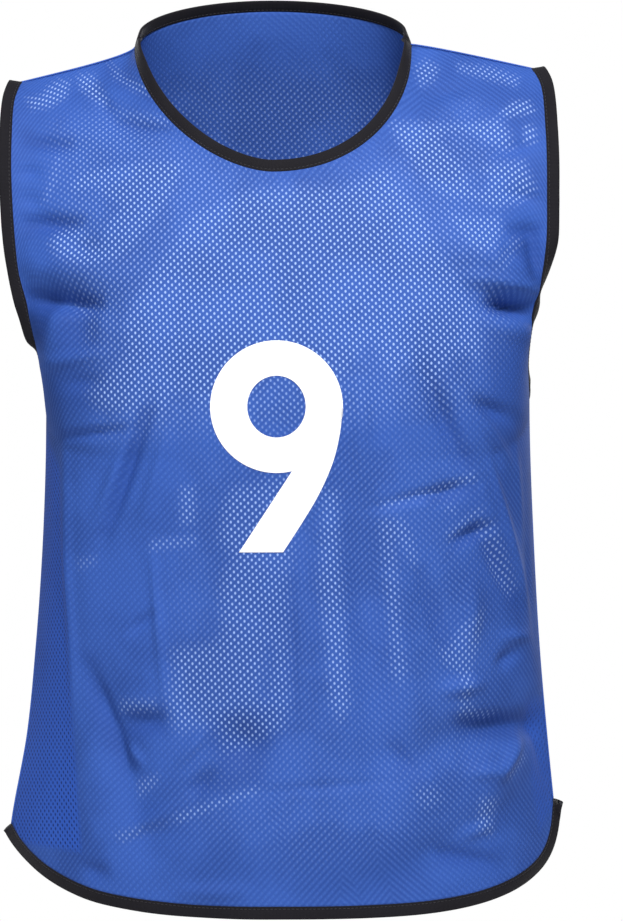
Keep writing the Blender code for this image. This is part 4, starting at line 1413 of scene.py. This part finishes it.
class BibStageSettings(bpy.types.PropertyGroup):
    """Camera, lamps and sky."""

    distance: length_setting("Camera distance", "From the seam plane", 3.2)
    focal_length: FloatProperty(
        name="Focal length", description="Of the camera", default=104.2, unit="CAMERA"
    )
    key_power: power_setting("Key light", "Power of the main lamp", 102.0)
    fill_power: power_setting("Fill light", "Power of the second lamp", 16.0)
    rear_power: power_setting("Rear lights", "Power of each lamp behind", 24.0)
    sky: FloatProperty(name="Sky light", description="Strength of the light from all round", default=0.17)


# Floor, lamps, sky and camera


def build_floor():
    """Round floor below the bib."""
    mesh = bpy.data.meshes.new("floor")
    angle = np.linspace(0, 2 * np.pi, FLOOR_SIDES, endpoint=False)
    height = np.full(FLOOR_SIDES, FLOOR_HEIGHT)
    rim = np.stack([np.cos(angle) * FLOOR_RADIUS, np.sin(angle) * FLOOR_RADIUS, height], -1)
    mesh.from_pydata(rim, [], [list(range(FLOOR_SIDES))])
    floor = bpy.data.objects.new("floor", mesh)
    bpy.context.scene.collection.objects.link(floor)
    material, _, shader = new_material("pale_floor", roughness=0.9, sheen=0.0, specular=0.1)
    shader.inputs["Base Color"].default_value = (0.86, 0.86, 0.86, 1)
    mesh.materials.append(material)


def build_lamps(settings):
    """Round lamps that face the middle of the bib."""
    for row in LAMPS:
        lamp = dict(zip(LAMP_COLUMNS, row))
        disk = bpy.data.lights.new(lamp["name"], "AREA")
        disk.shape = "DISK"
        disk.size = lamp["size"]
        disk.energy = getattr(settings, lamp["power"])
        light = bpy.data.objects.new(lamp["name"], disk)
        light.location = (lamp["x"], lamp["y"], lamp["z"])
        aim = Vector((0, 0, LAMP_AIM_HEIGHT)) - light.location
        light.rotation_euler = aim.to_track_quat("-Z", "Y").to_euler()
        bpy.context.scene.collection.objects.link(light)


def build_sky(strength):
    """Sky that lights the bib from all round and is seen as plain white."""
    world = bpy.data.worlds.new("pale_studio")
    world.use_nodes = True
    tree = world.node_tree
    tree.nodes.clear()
    seen = node(tree, "ShaderNodeBackground", {"Color": (1, 1, 1, 1), "Strength": 1.0})
    sky = node(tree, "ShaderNodeBackground", {"Color": (1, 1, 1, 1), "Strength": strength})
    path = node(tree, "ShaderNodeLightPath")
    values = {0: path.outputs["Is Camera Ray"], 1: sky.outputs[0], 2: seen.outputs[0]}
    mix = node(tree, "ShaderNodeMixShader", values)
    node(tree, "ShaderNodeOutputWorld", {0: mix.outputs[0]})
    bpy.context.scene.world = world


def build_camera(settings):
    """Camera that looks level at the front of the bib."""
    scene = bpy.context.scene
    lens = bpy.data.cameras.new("camera")
    lens.sensor_fit = "VERTICAL"
    lens.sensor_height = 24.0
    lens.lens = settings.focal_length
    camera = bpy.data.objects.new("camera", lens)
    camera.location = (CAMERA_AIM[0], -settings.distance, CAMERA_AIM[1])
    camera.rotation_euler = (np.pi / 2, 0, 0)
    scene.collection.objects.link(camera)
    scene.camera = camera
    scene.view_settings.view_transform = "Standard"


# One operator for each group of pieces


class BIB_OT_panels(bpy.types.Operator):
    """Builds the front and back panels of net cloth"""

    bl_idname = "bib.panels"
    bl_label = "Cloth panels"

    def execute(self, context):
        settings = context.scene.bib_cloth
        form = garment()["form"]
        material = cloth_material(settings)
        for face, name in FACE_NAMES.items():
            side = form[face]
            inner = side["points"] - side["normals"] * settings.wall
            piece = shell(f"{name}_cloth", side["points"], inner, material, side["map"], side["tones"])
            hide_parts(f"{name}_panel")
        return {"FINISHED"}


class BIB_OT_bindings(bpy.types.Operator):
    """Builds the folded tapes that bind the neck, the armholes and the hems"""

    bl_idname = "bib.bindings"
    bl_label = "Bindings"

    def execute(self, context):
        settings = context.scene.bib_binding
        material = tape_material("black_binding", settings.colour, BINDING_RIBS)
        width = TAPE_GAP + TAPE_WIDTH + settings.lap
        groove = (STITCH_FROM_EDGE - width / 2, GROOVE_DEPTH, GROOVE_WIDTH)
        profile = rounded_profile(width, settings.thickness, BINDING_SQUARENESS, *groove)
        for name, (middle, out, normals, closed) in garment()["edges"].items():
            centre = middle + out * (width / 2 - settings.lap)
            piece = swept(name, centre, out, normals, profile, closed, material)
            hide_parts(name.replace("binding", "tape"))
        return {"FINISHED"}


class BIB_OT_stitches(bpy.types.Operator):
    """Builds the rows of stitches that hold the bindings, on the outside and the inside"""

    bl_idname = "bib.stitches"
    bl_label = "Stitches"

    def execute(self, context):
        settings = context.scene.bib_binding
        material = thread_material("black_thread", settings.thread_colour)
        lift = settings.thickness / 2 * (1 - GROOVE_DEPTH)
        for name, path in garment()["edges"].items():
            inset = STITCH_FROM_EDGE - settings.lap
            rows = [stitches(path, inset, face * lift, settings.stitch_pitch) for face in (1, -1)]
            points = np.concatenate(rows)
            count, rings, sides = points.shape[:3]
            starts = np.arange(count)[:, None, None] * rings * sides
            faces = (grid_faces(rings, sides)[None] + starts).reshape(-1, 4)
            name = name.replace("binding", "stitches")
            piece = new_piece(name, points, faces, material, merge=STITCH_MERGE)
        return {"FINISHED"}


class BIB_OT_seams(bpy.types.Operator):
    """Builds the ridges of the side seams and the shoulder seams"""

    bl_idname = "bib.seams"
    bl_label = "Seams"

    def execute(self, context):
        settings = context.scene.bib_binding
        material = tape_material("blue_seam", context.scene.bib_cloth.colour, SEAM_RIBS)
        profile = rounded_profile(settings.seam_width, settings.seam_height, SEAM_SQUARENESS)
        for name, (middle, side, rise, closed) in garment()["seams"].items():
            centre = middle - rise * settings.seam_height / 4
            piece = swept(name, centre, side, rise, profile, closed, material)
        return {"FINISHED"}


class BIB_OT_number(bpy.types.Operator):
    """Builds the printed number and lays it on the front panel"""

    bl_idname = "bib.number"
    bl_label = "Number"

    def execute(self, context):
        settings = context.scene.bib_number
        front = garment()["form"][FRONT]
        grids = number_shape()
        flat = np.concatenate([grid.reshape(-1, 2) for grid in grids]) + np.array(NUMBER_CENTRE)
        ring, tail = (grid.shape[:2] for grid in grids)
        row, column = laid_on(front["points"], flat[:, 0], flat[:, 1])
        normals = unit(grid_at(front["normals"], row, column))
        points = grid_at(front["points"], row, column) + normals * PRINT_LIFT
        faces = np.concatenate([grid_faces(*ring), grid_faces(*tail, start=ring[0] * ring[1])])
        maps = grid_at(front["map"], row, column)
        piece = new_piece("number_nine", points, faces, print_material(settings), maps, merge=PRINT_MERGE)
        crisp_border(piece.data)
        wall = piece.modifiers.new("wall", "SOLIDIFY")
        wall.thickness = settings.thickness
        wall.offset = 1.0
        return {"FINISHED"}


class BIB_OT_stage(bpy.types.Operator):
    """Builds the floor, the lamps, the sky and the camera"""

    bl_idname = "bib.stage"
    bl_label = "Stage"

    def execute(self, context):
        settings = context.scene.bib_stage
        build_floor()
        build_lamps(settings)
        build_sky(settings.sky)
        build_camera(settings)
        return {"FINISHED"}


class BIB_PT_tools(bpy.types.Panel):
    """Lists the bib's operators and settings"""

    bl_idname = "BIB_PT_tools"
    bl_label = "Training bib"
    bl_space_type = "VIEW_3D"
    bl_region_type = "UI"
    bl_category = "Bib"

    def draw(self, context):
        for operator in OPERATORS:
            self.layout.operator(operator.bl_idname)
        for name in SETTINGS:
            settings = getattr(context.scene, name)
            box = self.layout.box()
            for key in settings.bl_rna.properties.keys():
                if key not in ("rna_type", "name"):
                    box.prop(settings, key)


OPERATORS = (BIB_OT_panels, BIB_OT_bindings, BIB_OT_stitches, BIB_OT_seams, BIB_OT_number, BIB_OT_stage)
SETTINGS = {
    "bib_cloth": BibClothSettings,
    "bib_binding": BibBindingSettings,
    "bib_number": BibNumberSettings,
    "bib_stage": BibStageSettings,
}


def register():
    """Adds the settings, the operators and the panel."""
    for name, group in SETTINGS.items():
        bpy.utils.register_class(group)
        setattr(bpy.types.Scene, name, PointerProperty(type=group))
    for kind in (*OPERATORS, BIB_PT_tools):
        bpy.utils.register_class(kind)


def unregister():
    """Takes the panel, the operators and the settings away again."""
    for kind in (BIB_PT_tools, *reversed(OPERATORS)):
        bpy.utils.unregister_class(kind)
    for name, group in SETTINGS.items():
        delattr(bpy.types.Scene, name)
        bpy.utils.unregister_class(group)


def main():
    register()
    net_group()
    fibre_group()
    for operator in OPERATORS:
        getattr(bpy.ops.bib, operator.bl_idname.split(".")[1])()


if __name__ == "__main__":
    main()
